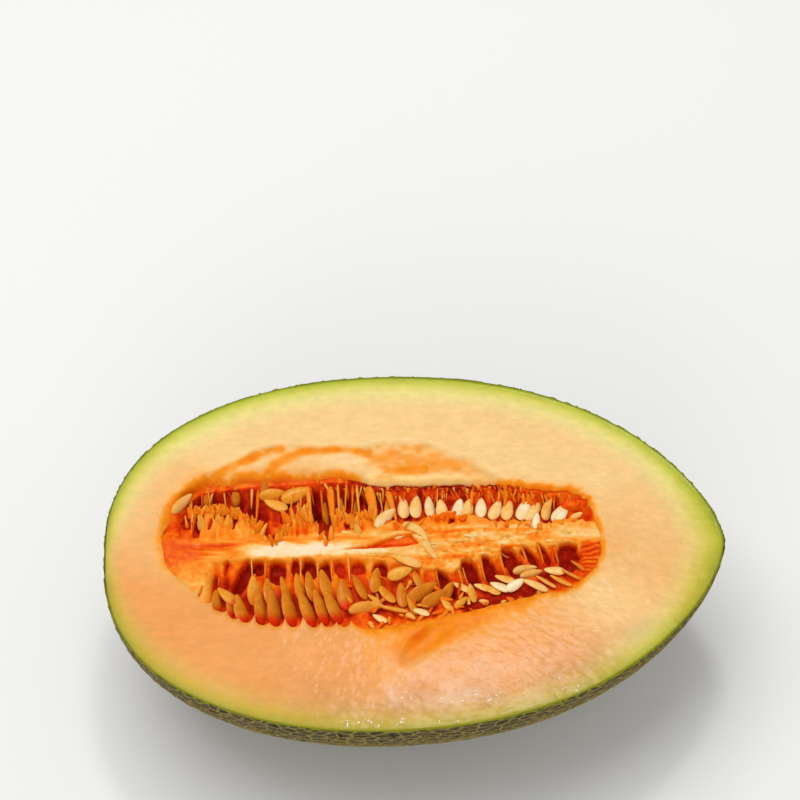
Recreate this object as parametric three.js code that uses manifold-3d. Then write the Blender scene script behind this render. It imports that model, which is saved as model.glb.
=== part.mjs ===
// Half of a hami melon, cut lengthwise and lying on its round back with the cut face up.
// It is two pieces. The flesh with its rind is one solid with a long seed cavity in its face.
// The seed pulp fills that cavity: a pale band along its middle, and wet pulp on both sides
// that carries the seeds. Millimetres. X runs along the melon from its blunt end to its
// tapered end, Y runs across the cut face and Z is up. The origin is on the floor, under the
// middle of the melon's length.
import * as THREE from 'three';
import { mergeVertices } from 'three/addons/utils/BufferGeometryUtils.js';
import Module from 'manifold-3d';

const wasm = await Module();
wasm.setup();

// The whole fruit
const LENGTH = 230;
const MID_RADIUS = 72.3; // half way along; the widest place is a little nearer the blunt end
const END_POWER = 2.13; // 2 would be an ellipse: more is fuller towards the ends
const SIDE_POWER = 2.0;
const END_SKEW = 0.38; // makes one end blunt and the other tapered
const TAPER = 0.076;
const CUT_HEIGHT = 72; // cut face above the floor; the back is worn flat where it would reach lower
const PROFILE_STEPS = 34;
const FRUIT_SIDES = 52;
const WELD = 1e-3; // corners of one shape that are this near are one corner

// The seed cavity: its two edges on the cut face, from the blunt end to the tapered end
const CAVITY_FAR_EDGE = [
  [-94, 8], [-90.5, 16], [-88, 21], [-82, 26.8], [-76, 29], [-60, 30.2], [-28, 31.2], [-19, 30],
  [-13, 28.6], [0, 28.2], [13, 28], [25, 27.2], [35, 26], [47, 23.6], [59, 21.8], [64, 19.4],
  [66.5, 14], [68.5, 8], [69.5, 3],
];
const CAVITY_NEAR_EDGE = [
  [-94, 8], [-92, -1.5], [-88.5, -6.8], [-81, -14.2], [-76, -21.5], [-64, -28.2], [-50, -30.6],
  [-36, -31.2], [-14, -31.3], [-5, -30.2], [5, -28.6], [16, -26], [31, -23], [45.5, -19.6],
  [53, -19.2], [57, -18.2], [61, -14.8], [65, -10.8], [68, -6], [69.5, 3],
];
const CAVITY_DEPTH = 27;
const CUT_CLEARANCE = 2; // cutting shapes reach this far above the cut face
const CAVITY_HALF_WIDTH = 30.5; // where the cavity has its full depth
const WALL_POWER = 5; // squareness of the cavity across: 2 is round
const END_SHALLOWING = 0.6; // how the depth follows the width towards the ends
const CAVITY_STEPS = 36;
const CAVITY_SIDES = 24;

// The torn flesh beside the cavity, where the knife pulled a strip away
const TEAR_OUTER_EDGE = [
  [-88, 25], [-80, 32], [-72, 37], [-62, 41.5], [-52, 46], [-42, 46], [-28, 45], [0, 45],
  [14, 40.5], [28, 34], [40, 26],
];
const TEAR_INNER_EDGE = [[-88, 25], [-60, 25.5], [-20, 25], [20, 24.5], [40, 26]];
const TEAR_DEPTH = 3.6;
const TEAR_LIP = 1.1; // step at the outer edge of the tear
const TEAR_EDGE_POWER = 12; // steepness of that step
const TEAR_END_SHARE = 1 / 6; // of its length, over which each end runs out
const TEAR_FOLD = { pitch: 17, depth: 0.9, slant: 0.9 };
const TEAR_STEPS = 30;
const TEAR_SIDES = 20;
const GOUGE = { x: 3.5, y: -37.2, long: 14.5, wide: 5, deep: 1.7, turn: 38, sides: 14, rings: 10 };

// The pulp in the cavity
const PULP_GAP = 1.3; // between the pulp and the cavity's wall
const PULP_FLOOR_GAP = 3;
const PULP_STEPS = 36;
const PULP_SIDES = 28;
const TOP_DEPTH = 0.8; // of the pulp's flat top below the cut face
const TOP_FALL = { from: 5, over: 12, depth: 0.8 }; // it falls a little towards its far edge
// The two edges of that top. The far one is ragged, with tufts that reach out over the trough.
const TOP_FAR_EDGE = [
  [-94, 6], [-88, 5], [-86, 12], [-81, 19], [-72, 20], [-64, 17.5], [-57, 10.5], [-53, 5.5],
  [-50, 5.5], [-47.5, 14], [-43, 17.5], [-38, 15.5], [-35, 7], [-31.5, 5.5], [-29, 14], [-26, 17],
  [-22.5, 12], [-18.5, 16], [-14, 15.5], [-4, 10], [6, 13.5], [14, 15], [21, 13], [30, 10.5],
  [42, 10.5], [49, 9], [58, 11], [66, 10],
];
const TOP_NEAR_EDGE = [
  [-94, 4], [-88, -4], [-75, -2.5], [-58, -2], [-20, -2.8], [-8, -4.5], [4, -7.5], [14, -9],
  [19, -5.5], [27, -4], [35, -1], [45, 0.5], [57, 0.5], [68, 2],
];
// Troughs on both sides of it: x and greatest depth, then the share of that depth on the way
// from the top's edge to the cavity's wall
const FAR_TROUGH = [
  [-92, 1.5], [-86, 4], [-82, 8], [-58, 8], [-53, 5.5], [-41, 5.5], [-37, 8.5], [-12, 7.5],
  [0, 5.5], [60, 5], [66, 3], [69, 1.5],
];
const NEAR_TROUGH = [
  [-90, 1], [-80, 2.5], [-74, 7], [-70, 8.5], [-25, 8.5], [0, 7], [20, 7.5], [50, 6.5], [62, 4],
  [68, 2],
];
const FAR_FALL = [[0, 0], [0.12, 0.7], [0.45, 1], [0.75, 0.75], [1, 0.1]];
const NEAR_FALL = [[0, 0], [0.08, 0.65], [0.25, 0.9], [0.5, 0.62], [1, 0.3]];
const PULP_ROUGHNESS = 0.8;
const SEED_TRIM_GAP = 0.5; // seeds are cut back this far from the cavity's wall
const SEED_TRIM_ABOVE = 1.2; // and may stand this much proud of the cut face

// One seed: a flat drop, blunt at its outer end and pointed where it hangs on the pulp
const SEED = { length: 13, width: 5.4, thickness: 2, sides: 6, rings: 4, point: 0.28 };

// Rows of seeds. x runs from first to last, and y of their middles likewise. lift is how far
// the middles lie over the pulp. lean turns a seed from the Y direction about Z, dip raises its
// pointed end and roll turns it about its own length, all in degrees. The spreads are the most
// that the draw adds or takes away.
const SEED_ROWS = [
  // the tips of a second near row, behind the full one
  { count: 6, x: [-60, -32.5], y: [-13.5, -13], lift: 1.1,
    lean: [2, 14], leanSpread: 8, dip: 4, roll: 36, rollSpread: 16, size: 0.95 },
  // far rows: right, middle, and on the wall at the left
  { count: 14, x: [-3, 62], y: [18.3, 14.8], lift: 1.6,
    lean: [0, -30], leanSpread: 12, dip: -12, roll: 14, rollSpread: 22, size: 0.76 },
  { count: 5, x: [-32, -9], y: [18.5, 18.5], lift: 1.3,
    lean: [2, -4], leanSpread: 8, dip: -12, roll: 62, rollSpread: 14, size: 0.8 },
  { count: 3, x: [-77, -57], y: [26, 26.6], lift: 0.9,
    lean: [-5, 5], leanSpread: 6, dip: 32, roll: 20, rollSpread: 10, size: 0.64 },
];
// What the draw adds to every row: x as a share of the seeds' pitch, and size as a share
const ROW_SPREAD = { x: 0.2, y: 0.8, lift: 0.3, size: 0.1 };
// Seeds placed one by one, without a dip: x, y, lift, lean, roll, size
const NEAR_ROW = [
  [-77.7, -14.3, 1.2, -17, 40, 0.68], [-73.2, -18.6, 1.8, 0, 40, 0.76],
  [-68.9, -16.6, 3.2, 46, 20, 0.8], [-68, -20, 1.8, 5, 45, 0.78], [-64.5, -21.6, 2, 13, 30, 0.94],
  [-57.2, -21, 2, 5, 48, 1.08], [-52.2, -21.6, 2, 5, 45, 1.18], [-46.7, -21.6, 2, 12, 42, 1.18],
  [-40.2, -22.2, 2, 18, 45, 1.22], [-35, -21.3, 1.9, 16, 45, 1.16], [-30.6, -21.3, 1.8, 21, 40, 1.14],
  [-26.3, -16.2, 1.5, 10, 12, 1.0],
];
const JUMBLE = [
  [-5.7, -9.7, 2.6, -70, 20, 0.75], [-2.9, -4.6, 1.3, 67, 30, 0.92], [0.6, -11.9, 1.7, 20, 20, 0.55],
  [-11, -16.4, 1.7, 40, 30, 0.78], [-5.1, -17.4, 1.8, 4, 16, 0.78], [2.6, -16.4, 2.2, -60, 36, 0.95],
  [6.8, -19.4, 2, -58, 40, 0.88], [10.9, -21.5, 1.4, 30, 20, 0.52], [16.4, -21.3, 1.2, -50, 30, 0.48],
  [20.6, -17.4, 1.6, 10, 30, 0.6], [17, -14.8, 1.7, 60, 20, 0.55], [1.6, -24.8, 1.5, 70, 20, 0.52],
  [-8.3, -23.3, 1.9, 76, 60, 0.86], [-18.5, -22.2, 1.9, -82, 62, 1.0], [-13.5, -26.8, 1.3, 60, 10, 0.46],
  [-14.6, -11.4, 1.6, -10, 24, 0.78], [-20.5, -13.5, 1.5, 24, 40, 0.85], [-15.1, -18.7, 1.7, 50, 30, 0.5],
  [11.5, -16.5, 1.4, -30, 30, 0.7], [-1.5, -21.5, 1.4, 20, 40, 0.7],
];
const NEAR_RIGHT = [
  [24.8, -15.1, 1.6, 70, 20, 0.55], [27.6, -16.2, 1.5, 60, 24, 0.6], [31, -15.3, 1.6, 65, 16, 0.62],
  [33, -12.3, 2.2, 70, 24, 0.62], [36.6, -15, 1.8, -58, 14, 0.62], [40.4, -8.6, 1.8, -80, 60, 0.7],
  [42.6, -10.4, 1.6, -76, 58, 0.66], [43.9, -15.5, 1.7, 62, 35, 0.8], [47.9, -14.2, 1.5, 55, 55, 0.66],
  [51.3, -9.6, 1.9, 82, 8, 0.6], [53.4, -14, 1.3, 60, 50, 0.7], [57.1, -11.6, 1.4, 58, 60, 0.62],
  [60, -8, 1.3, 50, 50, 0.5],
];
const FAR_LEFT = [
  [-86, 21.5, 1, -44, 58, 0.82], [-51.1, 21, 1.5, 65, 10, 0.74], [-43.6, 25, 1.5, -68, 18, 0.9],
  [-52.6, 25, 1.2, -80, 30, 0.75], [-10.5, 13, 1.2, -48, 40, 0.8], [45.5, 10.3, 1.3, -12, 12, 0.5],
  [54.5, 14.2, 1.7, -40, 16, 0.7],
];

// Threads of pulp that run from its top out over the troughs, on both sides in turn
const THREADS = { count: 30, from: -84, to: 60, length: 10, radius: 1.2, sides: 4, out: 1.2 };
const THREAD_FALL = { far: 14, near: 50, spread: 8, lean: 16 };

const LOOKS = {
  flesh: { color: 0xf3b878, roughness: 0.35 },
  pulp: { color: 0xe8731c, roughness: 0.3 },
};

const smooth = (t) => t * t * (3 - 2 * t);
const mix = (a, b, t) => a + (b - a) * t;
const clamp = (t) => Math.min(1, Math.max(0, t));

// A repeatable draw from -1 to 1 for the nth thing of a kind: the fraction of a large sine.
function draw(n, kind) {
  const wave = Math.sin(n * 12.9898 + kind * 78.233) * 43758.5453;
  return 2 * (wave - Math.floor(wave)) - 1;
}

// A value read off a short list of [place, value] steps, straight between them.
function readOff(steps, place) {
  const next = steps.findIndex(([at]) => at >= place);
  if (next <= 0) return next === 0 ? steps[0][1] : steps[steps.length - 1][1];
  const [a, b] = [steps[next - 1], steps[next]];
  return mix(a[1], b[1], (place - a[0]) / (b[0] - a[0]));
}

// Turns a closed three.js geometry into a solid that can be cut and joined.
function toSolid(geometry) {
  const bare = geometry.clone();
  bare.deleteAttribute('normal');
  bare.deleteAttribute('uv');
  const merged = mergeVertices(bare, WELD);
  const index = merged.index.array;
  const kept = [];
  for (let i = 0; i < index.length; i += 3) {
    const [a, b, c] = [index[i], index[i + 1], index[i + 2]];
    if (a !== b && b !== c && c !== a) kept.push(a, b, c);
  }
  return new wasm.Manifold(new wasm.Mesh({
    numProp: 3,
    vertProperties: new Float32Array(merged.attributes.position.array),
    triVerts: new Uint32Array(kept),
  }));
}

// The largest connected piece of a solid: loose scraps go and sealed hollows fill.
function mainPiece(solid) {
  const pieces = solid.decompose();
  pieces.sort((a, b) => b.volume() - a.volume());
  return pieces[0];
}

function toMesh(solid, name, look) {
  const { vertProperties, triVerts } = solid.getMesh();
  const geometry = new THREE.BufferGeometry();
  geometry.setAttribute('position', new THREE.BufferAttribute(vertProperties, 3));
  geometry.setIndex(new THREE.BufferAttribute(triVerts, 1));
  geometry.computeVertexNormals();
  const mesh = new THREE.Mesh(geometry, new THREE.MeshStandardMaterial(look));
  mesh.name = name;
  return mesh;
}

// Radius of the fruit at a place along X.
function fruitRadius(x) {
  const u = (2 * x) / LENGTH;
  const fullness = Math.max(0, 1 - Math.abs(u) ** END_POWER);
  return MID_RADIUS * fullness ** (1 / (SIDE_POWER - END_SKEW * u)) * (1 - TAPER * u);
}

// The fruit turned about its long axis, then cut in half and worn flat below.
function fruitHalf() {
  const profile = [];
  for (let i = 0; i <= PROFILE_STEPS; i += 1) {
    const x = (-LENGTH / 2) * Math.cos((Math.PI * i) / PROFILE_STEPS);
    profile.push(new THREE.Vector2(fruitRadius(x), x));
  }
  const whole = new THREE.LatheGeometry(profile, FRUIT_SIDES);
  whole.rotateZ(-Math.PI / 2);
  whole.translate(0, 0, CUT_HEIGHT);
  const below = new THREE.BoxGeometry(2 * LENGTH, 2 * LENGTH, CUT_HEIGHT);
  below.translate(0, 0, CUT_HEIGHT / 2);
  return toSolid(whole).intersect(toSolid(below));
}

const edgeCurve = (points) => new THREE.SplineCurve(points.map(([x, y]) => new THREE.Vector2(x, y)));
const cavityFarEdge = edgeCurve(CAVITY_FAR_EDGE);
const cavityNearEdge = edgeCurve(CAVITY_NEAR_EDGE);
const tearOuterEdge = edgeCurve(TEAR_OUTER_EDGE);
const tearInnerEdge = edgeCurve(TEAR_INNER_EDGE);

// The line straight across from one edge curve to the other, a share s along them.
function crossLine(nearEdge, farEdge, s) {
  const near = nearEdge.getPointAt(s);
  const far = farEdge.getPointAt(s);
  const middle = near.clone().add(far).multiplyScalar(0.5);
  const reach = far.clone().sub(near).multiplyScalar(0.5);
  return { middle, reach, half: reach.length() };
}

// A closed body between its two tips on X: a sphere whose points are placed by a function of
// s, the share along, and turn, the angle round the section, from the far edge over the top.
function loft(steps, sides, place) {
  const body = new THREE.SphereGeometry(1, sides, steps);
  body.rotateZ(Math.PI / 2);
  const points = body.attributes.position;
  for (let i = 0; i < points.count; i += 1) {
    const s = Math.acos(THREE.MathUtils.clamp(-points.getX(i), -1, 1)) / Math.PI;
    const [y, z] = [points.getY(i), points.getZ(i)];
    const turn = Math.hypot(y, z) < 1e-6 ? 0 : Math.atan2(Math.abs(z) < 1e-6 ? 0 : z, y);
    const [x, across, up] = place(s, turn);
    points.setXYZ(i, x, across, up);
  }
  return toSolid(body);
}

// How deep the cavity is, as a share of its full depth, where it is half this wide.
const depthShare = (half) => (half / CAVITY_HALF_WIDTH) ** END_SHALLOWING;

// The space of the cavity, less a gap all round, up to a height above the cut face.
function cavitySpace(gap, above) {
  const centreX = (CAVITY_FAR_EDGE[0][0] + CAVITY_FAR_EDGE.at(-1)[0]) / 2;
  const lengthShare = 1 - gap / (CAVITY_FAR_EDGE.at(-1)[0] - centreX);
  return loft(CAVITY_STEPS, CAVITY_SIDES, (s, turn) => {
    const { middle, reach, half } = crossLine(cavityNearEdge, cavityFarEdge, s);
    const width = Math.max(0, half - gap) / Math.max(half, gap, 1e-6);
    const across = Math.cos(turn) * width;
    const x = centreX + (middle.x - centreX) * lengthShare + reach.x * across;
    const y = middle.y + reach.y * across;
    const fall = (1 - Math.abs(Math.cos(turn)) ** WALL_POWER) ** (1 / WALL_POWER);
    const depth = (CAVITY_DEPTH - gap) * depthShare(half) * fall;
    return [x, y, CUT_HEIGHT + (turn >= 0 ? (above * (1 + Math.sin(turn))) / 2 : -depth)];
  });
}

// The wedge of flesh torn off beside the cavity, with slanting folds in its floor.
function tornWedge() {
  return loft(TEAR_STEPS, TEAR_SIDES, (s, turn) => {
    const { middle, reach } = crossLine(tearInnerEdge, tearOuterEdge, s);
    const across = Math.cos(turn);
    const x = middle.x + reach.x * across;
    const y = middle.y + reach.y * across;
    if (turn > 0) return [x, y, CUT_HEIGHT + CUT_CLEARANCE * (0.5 + Math.sin(turn))];
    const outward = (1 + across) / 2;
    const ends = smooth(clamp(Math.min(s, 1 - s) / TEAR_END_SHARE));
    const fold = Math.sin((2 * Math.PI * (x + TEAR_FOLD.slant * y)) / TEAR_FOLD.pitch);
    const depth = TEAR_LIP + (TEAR_DEPTH * (1 - outward) + TEAR_FOLD.depth * fold) * ends;
    const rise = (depth + CUT_CLEARANCE / 2) * Math.abs(across) ** TEAR_EDGE_POWER;
    return [x, y, CUT_HEIGHT - depth + rise];
  });
}

function gouge() {
  const scoop = new THREE.SphereGeometry(1, GOUGE.sides, GOUGE.rings);
  scoop.scale(GOUGE.long, GOUGE.wide, GOUGE.deep);
  scoop.rotateZ(THREE.MathUtils.degToRad(GOUGE.turn));
  scoop.translate(GOUGE.x, GOUGE.y, CUT_HEIGHT);
  return toSolid(scoop);
}

function flesh() {
  const opened = fruitHalf()
    .subtract(cavitySpace(0, CUT_CLEARANCE))
    .subtract(tornWedge())
    .subtract(gouge());
  return mainPiece(opened);
}

// Depth of the pulp's surface under the cut face: its flat top, then a trough on each side.
function pulpDepth(x, y) {
  const farWall = readOff(CAVITY_FAR_EDGE, x) - PULP_GAP;
  const nearWall = readOff(CAVITY_NEAR_EDGE, x) + PULP_GAP;
  const far = Math.min(readOff(TOP_FAR_EDGE, x), farWall - 1);
  const near = Math.max(readOff(TOP_NEAR_EDGE, x), nearWall + 1);
  const top = TOP_DEPTH + TOP_FALL.depth * clamp((y - TOP_FALL.from) / TOP_FALL.over);
  if (y > far) {
    const fall = readOff(FAR_FALL, clamp((y - far) / (farWall - far)));
    return mix(top, Math.max(top, readOff(FAR_TROUGH, x)), fall);
  }
  if (y < near) {
    const fall = readOff(NEAR_FALL, clamp((near - y) / (near - nearWall)));
    return mix(top, Math.max(top, readOff(NEAR_TROUGH, x)), fall);
  }
  return top;
}

// The bare pulp: a flat top and its two troughs, and an underside that follows the cavity.
function pulpCore() {
  const centreX = (CAVITY_FAR_EDGE[0][0] + CAVITY_FAR_EDGE.at(-1)[0]) / 2;
  const lengthShare = 1 - PULP_GAP / (CAVITY_FAR_EDGE.at(-1)[0] - centreX);
  return loft(PULP_STEPS, PULP_SIDES, (s, turn) => {
    const { middle, reach, half } = crossLine(cavityNearEdge, cavityFarEdge, s);
    const width = Math.max(0, half - PULP_GAP) / Math.max(half, PULP_GAP);
    const place = (across) => [
      centreX + (middle.x - centreX) * lengthShare + reach.x * width * across,
      middle.y + reach.y * width * across,
    ];
    const top = (across) => {
      const [x, y] = place(across);
      const rough = PULP_ROUGHNESS * draw(Math.round(x) + 0.37 * Math.round(y), 3);
      return pulpDepth(x, y) + rough * (1 - Math.abs(across)) * depthShare(half);
    };
    if (turn >= 0) {
      const across = 1 - (2 * turn) / Math.PI;
      return [...place(across), CUT_HEIGHT - top(across)];
    }
    const across = Math.cos(turn);
    const edgeDepth = top(Math.sign(across));
    const floorDepth = (CAVITY_DEPTH - PULP_FLOOR_GAP) * depthShare(half);
    const fall = (1 - Math.abs(across) ** WALL_POWER) ** (1 / WALL_POWER);
    return [...place(across), CUT_HEIGHT - mix(edgeDepth, Math.max(edgeDepth, floorDepth), fall)];
  });
}

// A seed lies along Y with its point at +Y, and is then rolled, dipped, leaned and placed.
const seedShape = new THREE.SphereGeometry(1, SEED.sides, SEED.rings);
{
  const points = seedShape.attributes.position;
  for (let i = 0; i < points.count; i += 1) {
    const y = points.getY(i);
    const waist = 1 - SEED.point * y;
    points.setXYZ(i, points.getX(i) * waist, y, points.getZ(i) * waist);
  }
  seedShape.scale(SEED.width / 2, SEED.length / 2, SEED.thickness / 2);
}

function seed({ x, y, lift, lean, dip, roll, size }) {
  const shape = seedShape.clone();
  shape.scale(size, size, size);
  shape.rotateY(THREE.MathUtils.degToRad(roll));
  shape.rotateX(THREE.MathUtils.degToRad(dip));
  shape.rotateZ(THREE.MathUtils.degToRad(lean));
  shape.translate(x, y, CUT_HEIGHT - pulpDepth(x, y) + lift);
  return toSolid(shape);
}

function seedRow(row, kind) {
  const seeds = [];
  const pitch = (row.x[1] - row.x[0]) / (row.count - 1);
  for (let n = 0; n < row.count; n += 1) {
    const t = n / (row.count - 1);
    seeds.push(seed({
      x: mix(...row.x, t) + ROW_SPREAD.x * pitch * draw(n, kind),
      y: mix(...row.y, t) + ROW_SPREAD.y * draw(n, kind + 1),
      lift: row.lift + ROW_SPREAD.lift * draw(n, kind + 2),
      lean: mix(...row.lean, t) + row.leanSpread * draw(n, kind + 3),
      dip: row.dip,
      roll: row.roll + row.rollSpread * draw(n, kind + 4),
      size: row.size * (1 + ROW_SPREAD.size * draw(n, kind + 5)),
    }));
  }
  return seeds;
}

// One tapered thread of pulp that leaves the top at one of its edges.
function thread(n) {
  const side = n % 2 === 0 ? 1 : -1;
  const x = mix(THREADS.from, THREADS.to, n / (THREADS.count - 1));
  const y = readOff(side > 0 ? TOP_FAR_EDGE : TOP_NEAR_EDGE, x) + side * THREADS.out;
  const fall = (side > 0 ? THREAD_FALL.far : THREAD_FALL.near) + THREAD_FALL.spread * draw(n, 91);
  const shape = new THREE.ConeGeometry(THREADS.radius, THREADS.length, THREADS.sides);
  shape.rotateX(-THREE.MathUtils.degToRad(fall));
  if (side < 0) shape.rotateZ(Math.PI);
  shape.rotateZ(THREE.MathUtils.degToRad(THREAD_FALL.lean * draw(n, 92)));
  shape.translate(x, y, CUT_HEIGHT - pulpDepth(x, y) + THREADS.radius / 2);
  return toSolid(shape);
}

function seedPulp() {
  const rows = SEED_ROWS.flatMap((row, i) => seedRow(row, 10 * (i + 1)));
  const placed = [...NEAR_ROW, ...JUMBLE, ...NEAR_RIGHT, ...FAR_LEFT];
  const single = placed.map(([x, y, lift, lean, roll, size]) => (
    seed({ x, y, lift, lean, dip: 0, roll, size })
  ));
  const threads = Array.from({ length: THREADS.count }, (_, n) => thread(n));
  const heap = wasm.Manifold.union([pulpCore(), ...rows, ...single, ...threads]);
  return mainPiece(heap.intersect(cavitySpace(SEED_TRIM_GAP, SEED_TRIM_ABOVE)));
}

const group = new THREE.Group();
group.add(toMesh(flesh(), 'melon_flesh', LOOKS.flesh));
group.add(toMesh(seedPulp(), 'seed_pulp', LOOKS.pulp));

export default group;
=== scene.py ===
"""Half of a hami melon on a pale floor: its flesh, netted rind, seed pulp, seeds, threads and juice.

Lengths are millimetres in the script and metres in Blender. X runs along the melon towards its
tapered end, Y across the cut face away from the camera and Z up, with the floor at zero.
"""

import bmesh
import bpy
import numpy as np
from mathutils import Matrix, Vector


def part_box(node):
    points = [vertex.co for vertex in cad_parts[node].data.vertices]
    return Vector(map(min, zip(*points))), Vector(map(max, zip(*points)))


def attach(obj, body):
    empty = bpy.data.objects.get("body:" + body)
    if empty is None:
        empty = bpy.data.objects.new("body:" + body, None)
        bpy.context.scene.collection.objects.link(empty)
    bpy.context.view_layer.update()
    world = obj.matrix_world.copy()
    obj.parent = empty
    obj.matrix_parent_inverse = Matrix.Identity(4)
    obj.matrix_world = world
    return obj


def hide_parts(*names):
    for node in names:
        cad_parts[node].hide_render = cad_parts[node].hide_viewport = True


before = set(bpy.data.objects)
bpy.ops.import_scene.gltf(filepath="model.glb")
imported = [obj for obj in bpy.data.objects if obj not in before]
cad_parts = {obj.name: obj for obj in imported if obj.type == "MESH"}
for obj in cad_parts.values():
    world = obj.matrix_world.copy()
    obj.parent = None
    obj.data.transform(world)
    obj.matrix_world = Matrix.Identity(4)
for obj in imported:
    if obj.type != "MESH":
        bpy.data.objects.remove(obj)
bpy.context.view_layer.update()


# Flesh
# The part that is eaten: crisp, wet and pale orange, with a green edge under the skin. It grew in
# one piece round the seed cavity. A long knife left the face flat but for fine grain, and pulled a
# strip out of it beside the cavity.

MM = 0.001
HALF_LENGTH = 115.0
MID_RADIUS = 72.3
END_POWER = 2.13  # 2 is an ellipse, and more makes the ends fuller
SIDE_POWER = 2.0  # the root that turns it into a radius, less the skew towards the tapered end
END_SKEW = 0.38
TAPER = 0.076  # what share of the radius the tapered end loses, and the other one gains
CUT_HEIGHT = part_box("melon_flesh")[1].z / MM
# Edges of the seed cavity on the cut face, far and near, from its left end to its right end.
CAVITY_FAR = np.array([
    (-94, 8), (-90.5, 16), (-88, 21), (-82, 26.8), (-76, 29), (-60, 30.2), (-28, 31.2), (-19, 30),
    (-13, 28.6), (0, 28.2), (13, 28), (25, 27.2), (35, 26), (47, 23.6), (59, 21.8), (64, 19.4),
    (66.5, 14), (68.5, 8), (69.5, 3),
], float)
CAVITY_NEAR = np.array([
    (-94, 8), (-92, -1.5), (-88.5, -6.8), (-81, -14.2), (-76, -21.5), (-64, -28.2), (-50, -30.6),
    (-36, -31.2), (-14, -31.3), (-5, -30.2), (5, -28.6), (16, -26), (31, -23), (45.5, -19.6),
    (53, -19.2), (57, -18.2), (61, -14.8), (65, -10.8), (68, -6), (69.5, 3),
], float)
CAVITY_DEPTH = 27.0
CAVITY_HALF_WIDTH = 30.5
END_SHALLOWING = 0.6  # power by which the depth follows the width
# The torn strip: its outer edge, its depth at the cavity and the step at its outer edge.
TEAR_OUTER = np.array([
    (-88, 25), (-80, 32), (-72, 37), (-62, 41.5), (-52, 46), (-42, 46), (-28, 45), (0, 45),
    (14, 40.5), (28, 34), (40, 26),
], float)
TEAR_DEPTH = 3.6
TEAR_LIP = 0.6
GOUGE = {"x": 3.5, "y": -37.2, "long": 14.5, "wide": 5.0, "deep": 1.2, "turn": 38.0}
# Marks of the stain round the gouge: strength, middle, turn, half length and half width.
GOUGE_STAINS = [
    (0.46, (-1, -39), 40, 16, 6), (0.52, (13, -31), 20, 24, 6.6),
]
GOUGE_CORE = (0.24, (0, -35), 40, 4, 2)  # the deepest stain, on top of those
# Orange stain in the flesh along the cavity's far and near edges: x, strength and width.
STAIN_FAR = np.array([
    (-94, 0.4, 3), (-88, 0.66, 3.4), (-72, 0.85, 3.8), (-45, 0.8, 3.4), (-24, 0.65, 2.6),
    (-15, 0.15, 1.5), (24, 0.2, 1.5), (36, 0.5, 2), (50, 0.7, 2.2), (64, 0.7, 2), (69, 0.45, 1.5),
], float)
STAIN_NEAR = np.array([
    (-94, 0.4, 3), (-91, 0.34, 2.5), (-80, 0.3, 2), (-72, 0.3, 1.4), (-26, 0.3, 1.4), (-15, 0.55, 5),
    (-4, 0.6, 8), (20, 0.6, 8), (40, 0.56, 7), (52, 0.4, 3), (66, 0.45, 2.2),
], float)
# Creases between the folds of the torn strip: points, width and strength.
CREASES = [
    ([(-86, 24), (-82, 26.5), (-76, 31.5), (-69.5, 34.8), (-62, 38.8), (-54, 43.2), (-49, 43)], 2.5, 0.5),
    ([(-74, 29), (-64, 29.5), (-55.3, 33), (-49.2, 37.8), (-41.7, 41.6), (-29, 42.6), (-16, 41)], 2.4, 0.5),
    ([(-9, 33.5), (-3, 33.3), (5, 33.8)], 2.0, 0.5),
    ([(-14, 38), (0, 37), (16, 34.5), (30, 30)], 4.0, 0.3),
]
SKIN = 0.78  # thickness of the green outer skin that the cut shows as a line
MIDDLE = np.array([-12.0, 1.0])  # inside the cavity: the face's columns fan out from here
ACROSS_STRETCH = 1.58  # length over width, so that the fan is even
# Flesh stands between the tips of the near row's seeds as teeth, up to this far into the cavity.
NEAR_TIPS = np.array([-79, -73.2, -68, -63.3, -56.7, -51.6, -45, -37.6, -32.0, -26.8, -21])
TIP_HALF_WIDTH = 3.1
TOOTH_LENGTH = 4.4
TIP_SETBACK = 0.9
LIP = {"from_rim": 1.5, "half_width": 1.5, "height": 0.45}  # ridge along the torn edge; its pale colour is a painted highlight
GRID_STRIDE = 57.3


def ease(t):
    """Smooth from 0 to 1: three times t squared less twice t cubed."""
    return t * t * (3 - 2 * t)


def clip(t):
    """Held between 0 and 1."""
    return np.clip(t, 0, 1)


def rise(t, start, over):
    """0 before the start and 1 from start plus over on, eased between. A negative over rises
    the other way."""
    return ease(clip((t - start) / over))


def bell(t):
    """1 at nought, and falling off softly on both sides of it."""
    return np.exp(-(t**2))


def mix(a, b, t):
    """a where t is 0, b where t is 1, and in proportion between them."""
    return a + (b - a) * t


def draw(n, kind):
    """A repeatable draw from -1 to 1: the fraction of a large sine of n and the kind."""
    wave = np.sin(np.asarray(n, float) * 12.9898 + kind * 78.233) * 43758.5453
    return 2 * (wave - np.floor(wave)) - 1


def grain(x, y, kind):
    """Smooth random heights from -1 to 1: draws at the corners of a unit grid, eased between.
    The stride keeps the draws of one grid row apart from those of the next."""
    i, j = np.floor(x), np.floor(y)
    u, v = ease(x - i), ease(y - j)
    near, far = (
        mix(draw(i + GRID_STRIDE * row, kind), draw(i + 1 + GRID_STRIDE * row, kind), u)
        for row in (j, j + 1)
    )
    return mix(near, far, v)


def curve(points, steps=40):
    """A smooth line through the points: cubics whose slope at each point is half the way
    between its two neighbours."""
    p = np.vstack([points[:1], points, points[-1:]])
    t = np.linspace(0, 1, steps, endpoint=False)[:, None, None]
    p0, p1, p2, p3 = p[:-3], p[1:-2], p[2:-1], p[3:]
    v0, v1 = (p2 - p0) / 2, (p3 - p1) / 2
    line = (2 * p1 - 2 * p2 + v0 + v1) * t**3 + (3 * p2 - 3 * p1 - 2 * v0 - v1) * t**2 + v0 * t + p1
    return np.vstack([line.transpose(1, 0, 2).reshape(-1, p.shape[1]), p[-1:]])


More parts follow.
